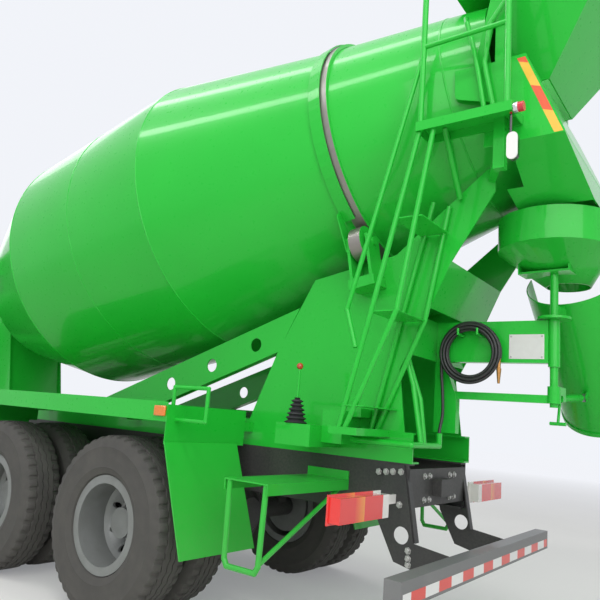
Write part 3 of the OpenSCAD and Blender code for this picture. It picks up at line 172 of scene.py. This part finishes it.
def tube(path, radius, sides=10, close=True):
    """points(i, k) = path_i + r (cos a_k u_i + sin a_k v_i), with u, v carried along the path without twist"""
    path = np.asarray(path, float)
    radius = np.broadcast_to(radius, len(path))
    along = np.gradient(path, axis=0)
    along /= np.linalg.norm(along, axis=1)[:, None]
    side = np.cross(along[0], [0.31, 0.17, 0.93])
    carried = []
    for way in along:
        side = side - way * side.dot(way)
        side /= np.linalg.norm(side)
        carried.append(side)
    u = np.array(carried)
    v = np.cross(along, u)
    a = np.linspace(0, 2 * np.pi, sides, endpoint=False)[None, :, None]
    points = path[:, None] + radius[:, None, None] * (np.cos(a) * u[:, None] + np.sin(a) * v[:, None])
    if close:
        points = np.concatenate([np.repeat(path[:1, None], sides, 1), points, np.repeat(path[-1:, None], sides, 1)])
    return points, grid(len(points), sides, wrap_m=True)


def joined(*parts):
    """several (points, faces) made one"""
    points, faces, total = [], [], 0
    for p, f in parts:
        p = np.asarray(p).reshape(-1, 3)
        points.append(p)
        faces.append(np.asarray(f) + total)
        total += len(p)
    return np.concatenate(points), np.concatenate(faces)


# Water hose: seven loose turns of black rubber hung on two hooks of the swivel arm,
# one end up from the valve at the tail of the frame, the other in a brass spray nozzle.
hose_r, coil_r, bundle_r = 0.0095, 0.165, 0.0222
coil = np.array([-3.7625, 0.084, 1.740])
turn_angle = np.radians(np.arange(-14, 190 + 6 * 360 + 1, 6.0))
lay = (turn_angle - turn_angle[0]) / 7
reach = coil_r + bundle_r * np.cos(lay)
loop = coil + np.stack([reach * np.cos(turn_angle), bundle_r * np.sin(lay), reach * np.sin(turn_angle)], 1)
rise = np.array([[-3.6125, 0.150, 1.245], [-3.6125, 0.140, 1.280], [-3.6125, 0.110, 1.360], [-3.6000, 0.090, 1.480],
                 [-3.5860, 0.084, 1.600]])


def smooth_run(knots, steps):
    """a Catmull-Rom curve: each stretch is the cubic through its two knots with the slopes of their neighbours"""
    k = np.concatenate([2 * knots[:1] - knots[1:2], knots, 2 * knots[-1:] - knots[-2:-1]])
    t = np.linspace(0, 1, steps, endpoint=False)[None, :, None]
    a, b, c, d = (k[i:len(k) - 3 + i, None] for i in range(4))
    run = 0.5 * (2 * b + (c - a) * t + (2 * a - 5 * b + 4 * c - d) * t ** 2 + (3 * b - a - 3 * c + d) * t ** 3)
    return np.concatenate([run.reshape(-1, 3), knots[-1:]])


hose_path = np.concatenate([smooth_run(np.concatenate([rise, loop[:2]]), 5)[:-1], loop[1:]])
rubber, shader, place = material("hose_rubber", Roughness=0.42)
scuff = place.noise(60)
feed(shader, Base_Color=scuff.blend((0.012, 0.012, 0.013, 1), (0.035, 0.035, 0.036, 1)), Roughness=0.3 + 0.3 * scuff,
     Normal=place.noise(400).bump(0.15, 0.001))
hose = piece("water_hose", *tube(hose_path, hose_r, 12), rubber, "truck", "hose_rubber")
brass, shader, place = material("nozzle_brass", Metallic=1.0)
tarnish = place.noise(90)
feed(shader, Base_Color=tarnish.blend((0.62, 0.30, 0.09, 1), (0.36, 0.2, 0.08, 1)), Roughness=0.25 + 0.35 * tarnish,
     Normal=place.noise(500).bump(0.1, 0.0005))
dress(brass, "hose_nozzle")
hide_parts("hose_coil", "hose_tail")
length = float(np.linalg.norm(np.diff(hose_path, axis=0), axis=1).sum())

# Bright green two-coat enamel over welded and folded steel: the body frame, cab, drum,
# hopper and chute. It is glossy and nearly new, with road dust low down.


def enamel(name, colour, dusty=0.35):
    """enamel: a coat over the colour, a fine orange peel, and dust that thins with height"""
    made, shader, place = material(name, Coat_Weight=0.35, Coat_Roughness=0.06, Specular_IOR_Level=0.2)
    cloud = place.noise(1.7, 4)
    grain = place.noise(38)
    low = ((1.15 - place.axis("Z")) * 1.1).clip() * (0.35 + 0.65 * grain) * dusty
    tone = cloud.blend(tuple(0.9 * c for c in colour) + (1,), tuple(min(1.05 * c, 1) for c in colour) + (1,))
    feed(shader, Base_Color=low.blend(tone, (0.21, 0.19, 0.155, 1)), Roughness=0.24 + 0.1 * grain + 0.9 * low,
         Normal=place.noise(210, 1).bump(0.035, 0.002))
    return made


bright_green = (0.018, 0.50, 0.04)
green = enamel("green_enamel", bright_green)
dress(green, "body_frame", "front_bumper", "cab_shell", "door_left", "door_right", "mudguards", "side_steps",
      "drum_pedestal", "access_ladder", "feed_hopper", "discharge_collector", "swivel_arm", "chute_post",
      "discharge_chute", "jack_barrel", "control_box", "water_tank", "water_pipes", "raceway_guard")

# Mixing drum: rolled plates welded to rings, so a low bead runs round it at each joint.
# The raceway near its mouth and the two rollers are painted too, worn to steel where they roll.
drum_tilt = math.radians(11)
race = np.array([-3.0575, 0, 3.165])
drum_axis = np.array([math.cos(drum_tilt), 0, -math.sin(drum_tilt)])
drum_up = np.array([math.sin(drum_tilt), 0, math.cos(drum_tilt)])


def ring(along, radius, wide, high, around=180):
    """a bead round the drum: a half ellipse, high out and wide along the axis, turned about it"""
    t = np.linspace(0, np.pi, 7)
    a = np.linspace(0, 2 * np.pi, around, endpoint=False)
    s = along + wide * np.cos(t)
    r = radius + high * np.sin(t)
    points = (race - drum_axis * s[None, :, None] + r[None, :, None]
              * (np.cos(a)[:, None, None] * drum_up + np.sin(a)[:, None, None] * np.array([0, 1, 0])))
    return points, grid(around, len(t), wrap_n=True, wrap_m=True)


dress(enamel("drum_enamel", bright_green, 0.1), "drum_shell")
seams = ((-3.05, 1.130), (-2.22, 1.1435), (-1.394, 1.157), (0.74, 0.690))
piece("drum_weld_beads", *joined(*[ring(along, radius - 0.002, 0.007, 0.005) for along, radius in seams]), green,
      "drum", "paint_green", crease=70)
steel, shader, place = material("race_steel", Metallic=0.9)
worn = place.noise(9, 5)
feed(shader, Base_Color=worn.blend((0.36, 0.36, 0.37, 1), (0.23, 0.23, 0.235, 1)), Roughness=0.28 + 0.22 * worn,
     Normal=place.noise(420, 1).bump(0.08, 0.001))
dress(steel, "jack_rod")
rolled, shader, place = material("raceway_finish", Coat_Weight=0.2)
half_track = 0.0405
off = place.axis("X") * drum_axis[0] + place.axis("Z") * drum_axis[2] - float(race @ drum_axis)
track = off.size().below(half_track)
worn = place.noise(9, 5)
feed(shader, Base_Color=track.blend(bright_green + (1,), worn.blend((0.36, 0.34, 0.32, 1), (0.22, 0.20, 0.18, 1))),
     Metallic=0.85 * track, Roughness=0.3 + 0.25 * worn, Normal=place.noise(300, 1).bump(0.06, 0.001))
dress(rolled, "raceway", "roller_left", "roller_right")

# Frame rails, axles and under-run brackets: black chassis paint on pressed and cast
# steel, dusty from the road, with zinc-plated bolts through the brackets.
black, shader, place = material("chassis_black", Coat_Weight=0.1)
film = place.noise(3.5, 5)
speck = place.noise(70)
feed(shader, Base_Color=(film * 0.55 * speck).blend((0.013, 0.014, 0.016, 1), (0.16, 0.15, 0.13, 1)),
     Roughness=0.38 + 0.35 * film, Normal=speck.bump(0.12, 0.002))
dress(black, "chassis_frame", "engine_block", "front_axle", "drive_axles", "knuckle_left", "knuckle_right",
      "track_rod", "air_tanks")
grey, shader, place = material("grey_paint", Coat_Weight=0.2)
film = place.noise(5, 5)
feed(shader, Base_Color=film.blend((0.12, 0.125, 0.13, 1), (0.2, 0.2, 0.2, 1)), Roughness=0.4 + 0.25 * film,
     Normal=place.noise(150).bump(0.06, 0.002))
dress(grey, "fuel_tank", "underrun_bar", "drum_drive")


def turned(profile, foot, way=(0, 0, 1), sides=32):
    """points(a, k) = foot + h_k way + r_k (cos a u + sin a v): a profile of (r, h) turned about way"""
    r, h = np.array(profile, float).T
    way = np.array(way, float) / np.linalg.norm(way)
    u = np.cross(way, [0.3, 0.2, 0.9])
    u /= np.linalg.norm(u)
    v = np.cross(way, u)
    a = np.linspace(0, 2 * np.pi, sides, endpoint=False)[:, None, None]
    points = np.array(foot) + h[None, :, None] * way + r[None, :, None] * (np.cos(a) * u + np.sin(a) * v)
    return points, grid(sides, len(r), wrap_n=True)


def studs(places, ways, radius, high, sides=6, washer=1.45):
    """hexagon heads on washers: a stepped profile turned about each way, at each place"""
    profile = np.stack([radius * np.array([0, washer, washer, 1, 1, 0.86, 0]),
                        high * np.array([0, 0, 0.18, 0.18, 0.9, 1, 1])], 1)
    ways = np.broadcast_to(ways, (len(places), 3))
    return joined(*[turned(profile, spot, way, sides) for spot, way in zip(places, ways)])


zinc, shader, place = material("zinc_plate", Metallic=0.85)
dull = place.noise(120)
feed(shader, Base_Color=dull.blend((0.55, 0.55, 0.53, 1), (0.33, 0.33, 0.32, 1)), Roughness=0.35 + 0.25 * dull,
     Normal=dull.bump(0.08, 0.001))
bracket_y, bolt_r, bolt_high = 0.442, 0.014, 0.014
bracket_bolts = [[x, s * bracket_y, z] for s in (-1, 1) for x, z in
                 [(-3.378, 1.001), (-3.425, 1.006), (-3.469, 1.011), (-3.520, 1.015), (-3.519, 0.836),
                  (-3.5835, 0.603), (-3.5855, 0.562), (-3.5865, 0.531)]]
piece("bracket_bolts", *studs(bracket_bolts, [[0, np.sign(y), 0] for _, y, _ in bracket_bolts], bolt_r, bolt_high),
      zinc, "truck", "race_steel")
hitch_bolts = [[-3.5615, y, z] for y in (-0.22, -0.15, 0.15, 0.22) for z in (0.855, 0.99)]
piece("hitch_bolts", *studs(hitch_bolts, [-1, 0, 0], bolt_r, bolt_high), zinc, "truck", "race_steel")

# Tyres: radial truck tyres with four zigzag grooves and notched shoulders, grey with dust.
# Each is one surface: a profile carried round the wheel, its tread lines swaying side to side.
# A profile's point: how far across, the radius, the share of the sway, the depth of the notch.
rib = [(0.0575, 0.5350, 1, 0), (0.0605, 0.5205, 1, 0), (0.0635, 0.5205, 1, 0), (0.0665, 0.5345, 1, 0.012),
       (0.0860, 0.5335, 0.3, 0.013), (0.1022, 0.5318, 0, 0.013), (0.1168, 0.5230, 0, 0.010), (0.1285, 0.4975, 0, 0.0),
       (0.1390, 0.4660, 0, 0), (0.1412, 0.4630, 0, 0), (0.1412, 0.4560, 0, 0), (0.1400, 0.4530, 0, 0),
       (0.1450, 0.4050, 0, 0), (0.1455, 0.3900, 0, 0), (0.1400, 0.3450, 0, 0), (0.1415, 0.3400, 0, 0),
       (0.1380, 0.3330, 0, 0), (0.1232, 0.3010, 0, 0), (0.1012, 0.2930, 0, 0), (0.1012, 0.2543, 0, 0)]
middle = [(0.0165, 0.5350, 1, 0), (0.0195, 0.5205, 1, 0), (0.0225, 0.5205, 1, 0), (0.0255, 0.5350, 1, 0)]
half = np.array(middle + rib)
profile = np.concatenate([half[::-1] * [-1, 1, 1, 1], half])
pitches, sway_reach, wheel_r = 44, 0.005, 0.535
notch = np.array([0, 0, 0, 0.2, 1, 1, 1, 0.2])


def tyre(x, y):
    """axial = a + a triangle wave of the turn; radius = r less the shoulder's notch, half a pitch on at each side"""
    steps = len(notch)
    i = np.arange(pitches * steps)
    sway = sway_reach * (np.abs((i % steps) / (steps / 2) - 1) * 2 - 1)
    cut = np.where(profile[None, :, 0] > 0, notch[i % steps][:, None], notch[(i + steps // 2) % steps][:, None])
    radius = profile[None, :, 1] - cut * profile[None, :, 3]
    across = profile[None, :, 0] + sway[:, None] * profile[None, :, 2]
    a = i * 2 * np.pi / len(i)
    points = np.stack([x + radius * np.cos(a)[:, None], y + across, wheel_r + radius * np.sin(a)[:, None]], -1)
    return points, grid(len(i), len(profile), wrap_n=True, wrap_m=True)


def wheel(axle, side):
    """the body, the tyre's node and the rim's node of a wheel"""
    twin = "" if axle == "front" else "s"
    return f"{axle}_wheel{twin}_{side}", f"{axle}_tyre{twin}_{side}", f"{axle}_rim{twin}_{side}"


tread, shader, place = material("tyre_rubber")
dust = place.noise(14, 6)
patch = place.noise(2.5, 3)
feed(shader, Base_Color=(dust * 0.6 + patch * 0.5).clip().blend((0.03, 0.03, 0.03, 1), (0.105, 0.1, 0.09, 1)),
     Roughness=0.7 + 0.25 * dust, Normal=place.noise(240).bump(0.12, 0.002))
axles = {"rear": -1.9125, "middle": -0.5625, "front": 3.2625}
front_y, twin_y = 1.011, (0.745, 1.085)
hands = (("left", 1), ("right", -1))
for side, sign in hands:
    for axle, x in axles.items():
        body, tyre_node, _ = wheel(axle, side)
        rows = [front_y] if axle == "front" else twin_y
        made = piece(f"{axle}_tread_{side}", *joined(*[tyre(x, sign * y) for y in rows]), tread, body, "tyre_rubber",
                     crease=28)
        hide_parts(tyre_node)

# Wheels: pressed steel discs and rolled rims in silver-grey paint, each held to its hub
# by ten nuts on studs.
silver, shader, place = material("rim_paint", Coat_Weight=0.15, Metallic=0.25)
film = place.noise(7, 5)
feed(shader, Base_Color=film.blend((0.27, 0.285, 0.28, 1), (0.16, 0.165, 0.155, 1)), Roughness=0.36 + 0.3 * film,
     Normal=place.noise(160).bump(0.05, 0.002))
nuts, nut_circle = 10, 0.1425
nut_angle = np.arange(nuts) * 2 * np.pi / nuts
nut_seat = {"rear": 0.931, "middle": 0.931, "front": 1.141}
for side, sign in hands:
    for axle, x in axles.items():
        body, _, rim_node = wheel(axle, side)
        dress(silver, rim_node)
        spots = np.stack([x + nut_circle * np.cos(nut_angle), np.full(nuts, sign * nut_seat[axle]),
                          wheel_r + nut_circle * np.sin(nut_angle)], 1)
        piece(f"{axle}_nuts_{side}", *studs(spots, [0, sign, 0], 0.0155, 0.030, washer=1.2), zinc, body, "rim_steel")

# Under-run bar tape: squares of red and white retroreflective film stuck along its face.
box_faces = [[0, 1, 3, 2], [4, 6, 7, 5], [0, 4, 5, 1], [2, 3, 7, 6], [0, 2, 6, 4], [1, 5, 7, 3]]


def box(low, high):
    """the corners and faces of a box between two of its corners"""
    x, y, z = zip(low, high)
    return [[a, b, c] for a in x for b in y for c in z], box_faces


film_red, shader, place = material("tape_red_white", Coat_Weight=0.5, Roughness=0.35)
pair, comb_scale = 0.30, 260.0
comb = place.node("ShaderNodeTexVoronoi", {"feature": "DISTANCE_TO_EDGE"}, out="Distance", Vector=place,
                  Scale=comb_scale)
half = (place.axis("Y") / pair).fraction().below(0.5)
feed(shader, Base_Color=half.blend((0.78, 0.78, 0.77, 1), (0.72, 0.035, 0.02, 1)), Normal=comb.bump(0.2, 0.0006))
bar_face = -3.9025
piece("underrun_tape", *box((bar_face - 0.0008, -1.13, 0.512), (bar_face + 0.0002, 1.13, 0.562)), film_red, "truck",
      "paint_green")

# Tail lamps: a moulded lens of clear, red and amber panels with fine vertical flutes. Up at
# the platform a round red lamp and an oval white one with a black shell.
# Headlamps: clear lenses over bright reflectors.
lens, shader, place = material("lamp_lens", Roughness=0.12, Coat_Weight=0.6)
inner_end, lens_length = 0.66, 0.48
pale, red, orange = (0.82, 0.80, 0.77, 1), (0.80, 0.035, 0.03, 1), (0.90, 0.30, 0.03, 1)
out = place.axis("Y").size()
panel = place.node("ShaderNodeValToRGB", {"stops": [(0.0, pale), (0.13, pale), (0.14, red), (0.52, red), (0.53, orange),
                                                    (0.72, red)]}, Fac=(out - inner_end) / lens_length)
round_lamp = place.axis("Z").past(2.874) * place.axis("Y").past(0.75)
oval_lamp = place.axis("Y").below(0.803).blend((0.80, 0.79, 0.77, 1), (0.02, 0.02, 0.022, 1))
feed(shader, Base_Color=place.axis("Z").past(2.0).blend(panel, round_lamp.blend(oval_lamp, (0.62, 0.02, 0.04, 1))),
     Normal=(out * 900).wave().bump(0.25, 0.0008))
dress(lens, "tail_lamps")
clear, shader, place = material("headlamp_lens", Roughness=0.08, Coat_Weight=0.8, Metallic=0.3)
feed(shader, Base_Color=place.noise(20).blend((0.6, 0.62, 0.64, 1), (0.8, 0.82, 0.84, 1)),
     Normal=(place.axis("Y") * 500).wave().bump(0.2, 0.001))
dress(clear, "headlamps")

# Windows: lightly tinted safety glass. The seats are woven cloth over foam, and the
# dashboard and mirror housings are grained black plastic.
glass, shader, place = material("window_glass", Roughness=0.03, Coat_Weight=0.3)
feed(shader, Base_Color=place.noise(2).blend((0.10, 0.13, 0.14, 1), (0.13, 0.17, 0.17, 1)),
     Alpha=0.35 + 0.1 * place.noise(3), Normal=place.noise(5).bump(0.02, 0.001))
dress(glass, "cab_glass", "door_glass_left", "door_glass_right")
plastic, shader, place = material("trim_plastic")
grain = place.noise(320, 2)
feed(shader, Base_Color=grain.blend((0.018, 0.019, 0.021, 1), (0.032, 0.033, 0.036, 1)), Roughness=0.5 + 0.2 * grain,
     Normal=grain.bump(0.2, 0.001))
dress(plastic, "dashboard", "mirrors")
cloth, shader, place = material("seat_fabric", Roughness=0.9)
weave = (place.axis("X") * 1500).wave() * (place.axis("Y") * 1500).wave()
feed(shader, Base_Color=(0.5 + 0.5 * weave).blend((0.035, 0.037, 0.042, 1), (0.075, 0.078, 0.088, 1)),
     Normal=weave.bump(0.3, 0.0008))


def cushion(low, high, crown, seams):
    """a pillowed box: |x|^p + |y|^p + |z|^p = 1 stretched to the box, its face crowned and drawn in at seams"""
    rows, columns = 41, 80
    a = np.linspace(-np.pi / 2, np.pi / 2, rows)[:, None]
    b = np.linspace(-np.pi, np.pi, columns, endpoint=False)[None, :]
    flat, deep = [np.sign(w) * np.abs(w) ** 0.28 for w in (np.cos(b), np.sin(b))]
    round_off = np.abs(np.cos(a)) ** 0.28 * np.sign(np.cos(a))
    unit = np.stack([round_off * flat, round_off * deep,
                     np.sign(np.sin(a)) * np.abs(np.sin(a)) ** 0.35 * np.ones_like(b)], -1)
    pull = sum(np.exp(-((unit[..., 1] - s) / 0.035) ** 2) for s in seams)
    unit[..., 2] *= 1 - crown * (unit[..., 0] ** 2 + unit[..., 1] ** 2) * 0.5 - 0.10 * pull * (unit[..., 2] > 0)
    low, high = np.array(low), np.array(high)
    return (low + high) / 2 + unit * (high - low) / 2, grid(rows, columns, wrap_m=True)


def leaned(part, foot, angle):
    """the points turned about an axis along y through foot"""
    points, faces = part
    turn = np.array([[np.cos(angle), 0, np.sin(angle)], [0, 1, 0], [-np.sin(angle), 0, np.cos(angle)]])
    return (points - foot) @ turn.T + foot, faces


back_middle, back_lean, seat_y = np.array([3.52, 0, 2.035]), -0.175, 0.73
crown, stitches, fill = 0.12, (-0.45, 0.45), 0.8
for side, sign in hands:
    y = sorted((sign * (seat_y - 0.238), sign * (seat_y + 0.238)))
    seat = piece(f"seat_cushion_{side}", *cushion([3.572, y[0], 1.566], [4.064, y[1], 1.700], crown, stitches), cloth,
                 "cab", "seat_fabric", crease=80)
    points, faces = cushion([-0.31, y[0], -0.058], [0.31, y[1], 0.058], crown, stitches)
    upright = points[..., [2, 1, 0]] + back_middle
    back = piece(f"seat_back_{side}", *leaned((upright, faces), back_middle, back_lean), cloth, "cab", "seat_fabric",
                 crease=80)
stand_r = [0.19, 0.17, 0.13, 0.17]
base = joined(*[tube([[3.8075, s * seat_y, z] for z in (1.3023, 1.34, 1.54, 1.56)], stand_r, 24) for s in (-1, 1)])
stands = piece("seat_stands", *base, plastic, "cab", "trim_plastic")
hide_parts("seats")

# Small fittings: a blank white plate riveted on the swivel arm, the rubber boot and red knob
# of the drum lever, amber side lamps on the mudguards, and the collector's warning tape.


def plate(low, high, finish, name, body, slot, bevel=0.002):
    """a flat panel between two corners, with eased edges"""
    return piece(name, *box(low, high), finish, body, slot, bevel=bevel)


white, shader, place = material("white_plate", Coat_Weight=0.3)
haze = place.noise(30)
feed(shader, Base_Color=haze.blend((0.72, 0.72, 0.71, 1), (0.62, 0.62, 0.60, 1)), Roughness=0.3 + 0.2 * haze,
     Normal=haze.bump(0.03, 0.001))
plate((-4.186, 0.0302, 1.712), (-3.984, 0.0322, 1.858), white, "blank_plate", "truck", "paint_green", bevel=0.0008)
rivets = [[x, 0.032, z] for x in (-4.174, -3.996) for z in (1.724, 1.846)]
piece("plate_rivets", *studs(rivets, [0, 1, 0], 0.004, 0.003, 12), zinc, "truck", "race_steel")
lever_x, lever_y = -2.9425, 0.700
boot_high, folds, fold_deep = 0.150, 6, 0.009
boot = [(0.062 - 0.040 * t + fold_deep * math.sin(t * 2 * math.pi * folds), boot_high * t)
        for t in np.linspace(0, 1, 45)]
piece("lever_boot", *turned([(0, 0)] + boot + [(0, boot_high + 0.002)], (lever_x, lever_y, 1.2352)), plastic, "truck",
      "hose_rubber", crease=60)
red_knob, shader, place = material("knob_plastic", Roughness=0.3, Coat_Weight=0.5)
feed(shader, Base_Color=place.noise(80).blend((0.55, 0.06, 0.02, 1), (0.42, 0.04, 0.015, 1)),
     Normal=place.noise(300).bump(0.03, 0.001))
knob_r = 0.0205
ball = [(knob_r * math.cos(t), knob_r * math.sin(t)) for t in np.linspace(-math.pi / 2, math.pi / 2, 17)]
piece("lever_knob", *turned(ball, (lever_x, lever_y, 1.575)), red_knob, "truck", "lamp_lens")
chrome, shader, place = material("chrome", Metallic=1.0)
feed(shader, Base_Color=place.noise(6).blend((0.72, 0.73, 0.74, 1), (0.62, 0.63, 0.64, 1)),
     Roughness=0.06 + 0.08 * place.noise(50), Normal=place.noise(90).bump(0.02, 0.001))
bezel = [(0.0262, 0.0), (0.0292, 0.001), (0.0300, 0.006), (0.0300, 0.018), (0.0285, 0.024), (0.0262, 0.025)]
piece("platform_lamp_bezel", *turned(bezel, (-4.2325, 0.795, 2.903), (-1, 0, 0), 40), chrome, "truck", "race_steel",
      crease=50)
amber, shader, place = material("amber_lens", Roughness=0.12, Coat_Weight=0.7)
feed(shader, Base_Color=place.noise(60).blend((0.85, 0.24, 0.01, 1), (0.7, 0.17, 0.01, 1)),
     Normal=(place.axis("Z") * 700).wave().bump(0.3, 0.001))
for side, sign in hands:
    y = sorted((sign * 1.2202, sign * 1.236))
    plate((-2.388, y[0], 1.215), (-2.292, y[1], 1.275), amber, f"side_lamp_{side}", "truck", "lamp_lens", bevel=0.006)
tape, shader, place = material("tape_red_yellow", Roughness=0.35, Coat_Weight=0.5)
slant, stripe_pair = place.axis("Z") - 0.4 * place.axis("X"), 0.26
feed(shader, Base_Color=(slant / stripe_pair).fraction().below(0.5).blend((0.86, 0.50, 0.05, 1), (0.78, 0.10, 0.03, 1)),
     Normal=place.node("ShaderNodeTexVoronoi", Vector=place, Scale=comb_scale).bump(0.2, 0.0006))
edge_top, edge_low = (-4.2445, 3.280), (-4.4385, 2.805)
for side, sign in hands:
    corners = [[x + wide, sign * y, z] for y in (0.6395, 0.6412) for x, z in (edge_top, edge_low)
               for wide in (0.004, 0.048)]
    piece(f"collector_tape_{side}", corners, box_faces, tape, "truck", "paint_green")

# Cab fittings: black grille inserts, pull handles in the doors' pockets, mirror glass,
# wipers on the windscreen and amber lamps along the roof's front edge.
grille = []
for z in 1.0 + 0.12 * np.arange(5):
    grille += [box((4.7018, y - 0.004, z + 0.001), (4.7130, y + 0.004, z + 0.074))
               for y in np.linspace(-0.75, 0.75, 31)]
    grille.append(box((4.7018, -0.758, z + 0.001), (4.7050, 0.758, z + 0.074)))
piece("grille_inserts", *joined(*grille), plastic, "cab", "trim_plastic")
mirror, shader, place = material("mirror_glass", Metallic=1.0)
feed(shader, Base_Color=place.noise(3).blend((0.75, 0.77, 0.78, 1), (0.8, 0.82, 0.83, 1)),
     Roughness=0.02 + 0.03 * place.noise(40), Normal=place.noise(3).bump(0.01, 0.001))
grip = ((3.455, 1.139), (3.462, 1.146), (3.50, 1.1475), (3.55, 1.1475), (3.588, 1.146), (3.595, 1.139))
for side, sign in hands:
    y = sorted((sign * 1.258, sign * 1.392))
    plate((4.4755, y[0], 2.072), (4.4776, y[1], 2.448), mirror, f"mirror_glass_{side}", "cab", "trim_plastic",
          bevel=0.001)
    handle = smooth_run(np.array([[x, sign * out, 1.850] for x, out in grip]), 6)
    piece(f"door_handle_{side}", *tube(handle, 0.010, 12), plastic, f"door_{side}", "trim_plastic")
    tip = np.array([4.640, sign * 0.18, 2.140])
    arm = smooth_run(np.array([[4.6900, sign * 0.75, 1.905], [4.6885, sign * 0.45, 1.985], tip]), 8)
    blade = np.linspace(tip + [0.006, -sign * 0.25, -0.02], tip + [0.006, sign * 0.22, -0.01], 9)
    piece(f"wiper_{side}", *joined(tube(arm, 0.006, 8), tube(blade, 0.005, 8)), plastic, "cab", "trim_plastic")
for k, y in enumerate((-0.7, -0.35, 0.35, 0.7)):
    plate((4.255, y - 0.05, 2.949), (4.30, y + 0.05, 2.957), amber, f"roof_lamp_{k}", "cab", "lamp_lens", bevel=0.003)

# Pale floor and plain soft light. The floor fades into a white background where it is seen.
# Broad lamps stand behind the camera and ahead of the cab, and two long strip lamps
# overhead give the reflections that run along the drum.


def shown(tree):
    """1 for what is seen, straight, in a mirror or through glass, and 0 for the light on the truck"""
    ray = tree.nodes.new("ShaderNodeLightPath")
    camera, mirrored, sent = [Wire(tree, ray.outputs[f"Is {way} Ray"]) for way in ("Camera", "Glossy", "Transmission")]
    return camera.larger(mirrored.larger(sent))


floor_finish, shader, place = material("pale_floor", Roughness=0.85)
feed(shader, Base_Color=place.noise(0.6, 6).blend((0.76, 0.745, 0.70, 1), (0.86, 0.845, 0.79, 1)),
     Normal=place.noise(60).bump(0.05, 0.002))
tree = floor_finish.node_tree
away = place.node("ShaderNodeVectorMath", {"operation": "LENGTH"}, out="Value", a_0=place)
share = shown(tree) * (0.25 + 0.75 * ((away - 7) / 12).clip())
white_out = place.node("ShaderNodeEmission", Color=(0.885, 0.90, 0.945, 1))
surface = place.node("ShaderNodeMixShader", a_0=share, a_1=Wire(tree, shader.outputs[0]), a_2=white_out)
tree.links.new(surface.socket, tree.nodes["Material Output"].inputs["Surface"])
mesh = bpy.data.meshes.new("floor")
half_floor = 40
mesh.from_pydata([(x * half_floor, y * half_floor, 0) for x, y in ((-1, -1), (1, -1), (1, 1), (-1, 1))], [],
                 [(0, 1, 2, 3)])
mesh.materials.append(floor_finish)
floor = bpy.data.objects.new("floor", mesh)
bpy.context.scene.collection.objects.link(floor)
world = bpy.data.worlds.new("sky")
bpy.context.scene.world = world
world.use_nodes = True
sky = world.node_tree.nodes["Background"]
strength = 0.40 + 0.55 * shown(world.node_tree)
sky.inputs["Color"].default_value = (0.93, 0.95, 1.0, 1)
world.node_tree.links.new(strength.socket, sky.inputs["Strength"])
for name, where, aim, size, power in (
        ("behind", (-8, 7, 6), (-2, 0, 1.8), (12, 8), 680),
        ("strip_near", (-1, 4.5, 8.5), (-1, 0.4, 2.5), (12, 0.7), 250),
        ("strip_far", (-1, 0.5, 9.5), (-1, 0, 2.5), (12, 0.9), 170),
        ("front", (10, -6, 8), (3, 0, 1.5), (11, 8), 420)):
    lamp = bpy.data.objects.new(name, bpy.data.lights.new(name, "AREA"))
    lamp.data.shape, lamp.data.size, lamp.data.size_y, lamp.data.energy = "RECTANGLE", size[0], size[1], power
    back = np.array(where, float) - np.array(aim, float)
    back /= np.linalg.norm(back)
    right = np.array([1.0, 0, 0]) if name.startswith("strip") else np.cross([0, 0, 1], back)
    right /= np.linalg.norm(right)
    stand(lamp, right, np.cross(back, right), back, where)
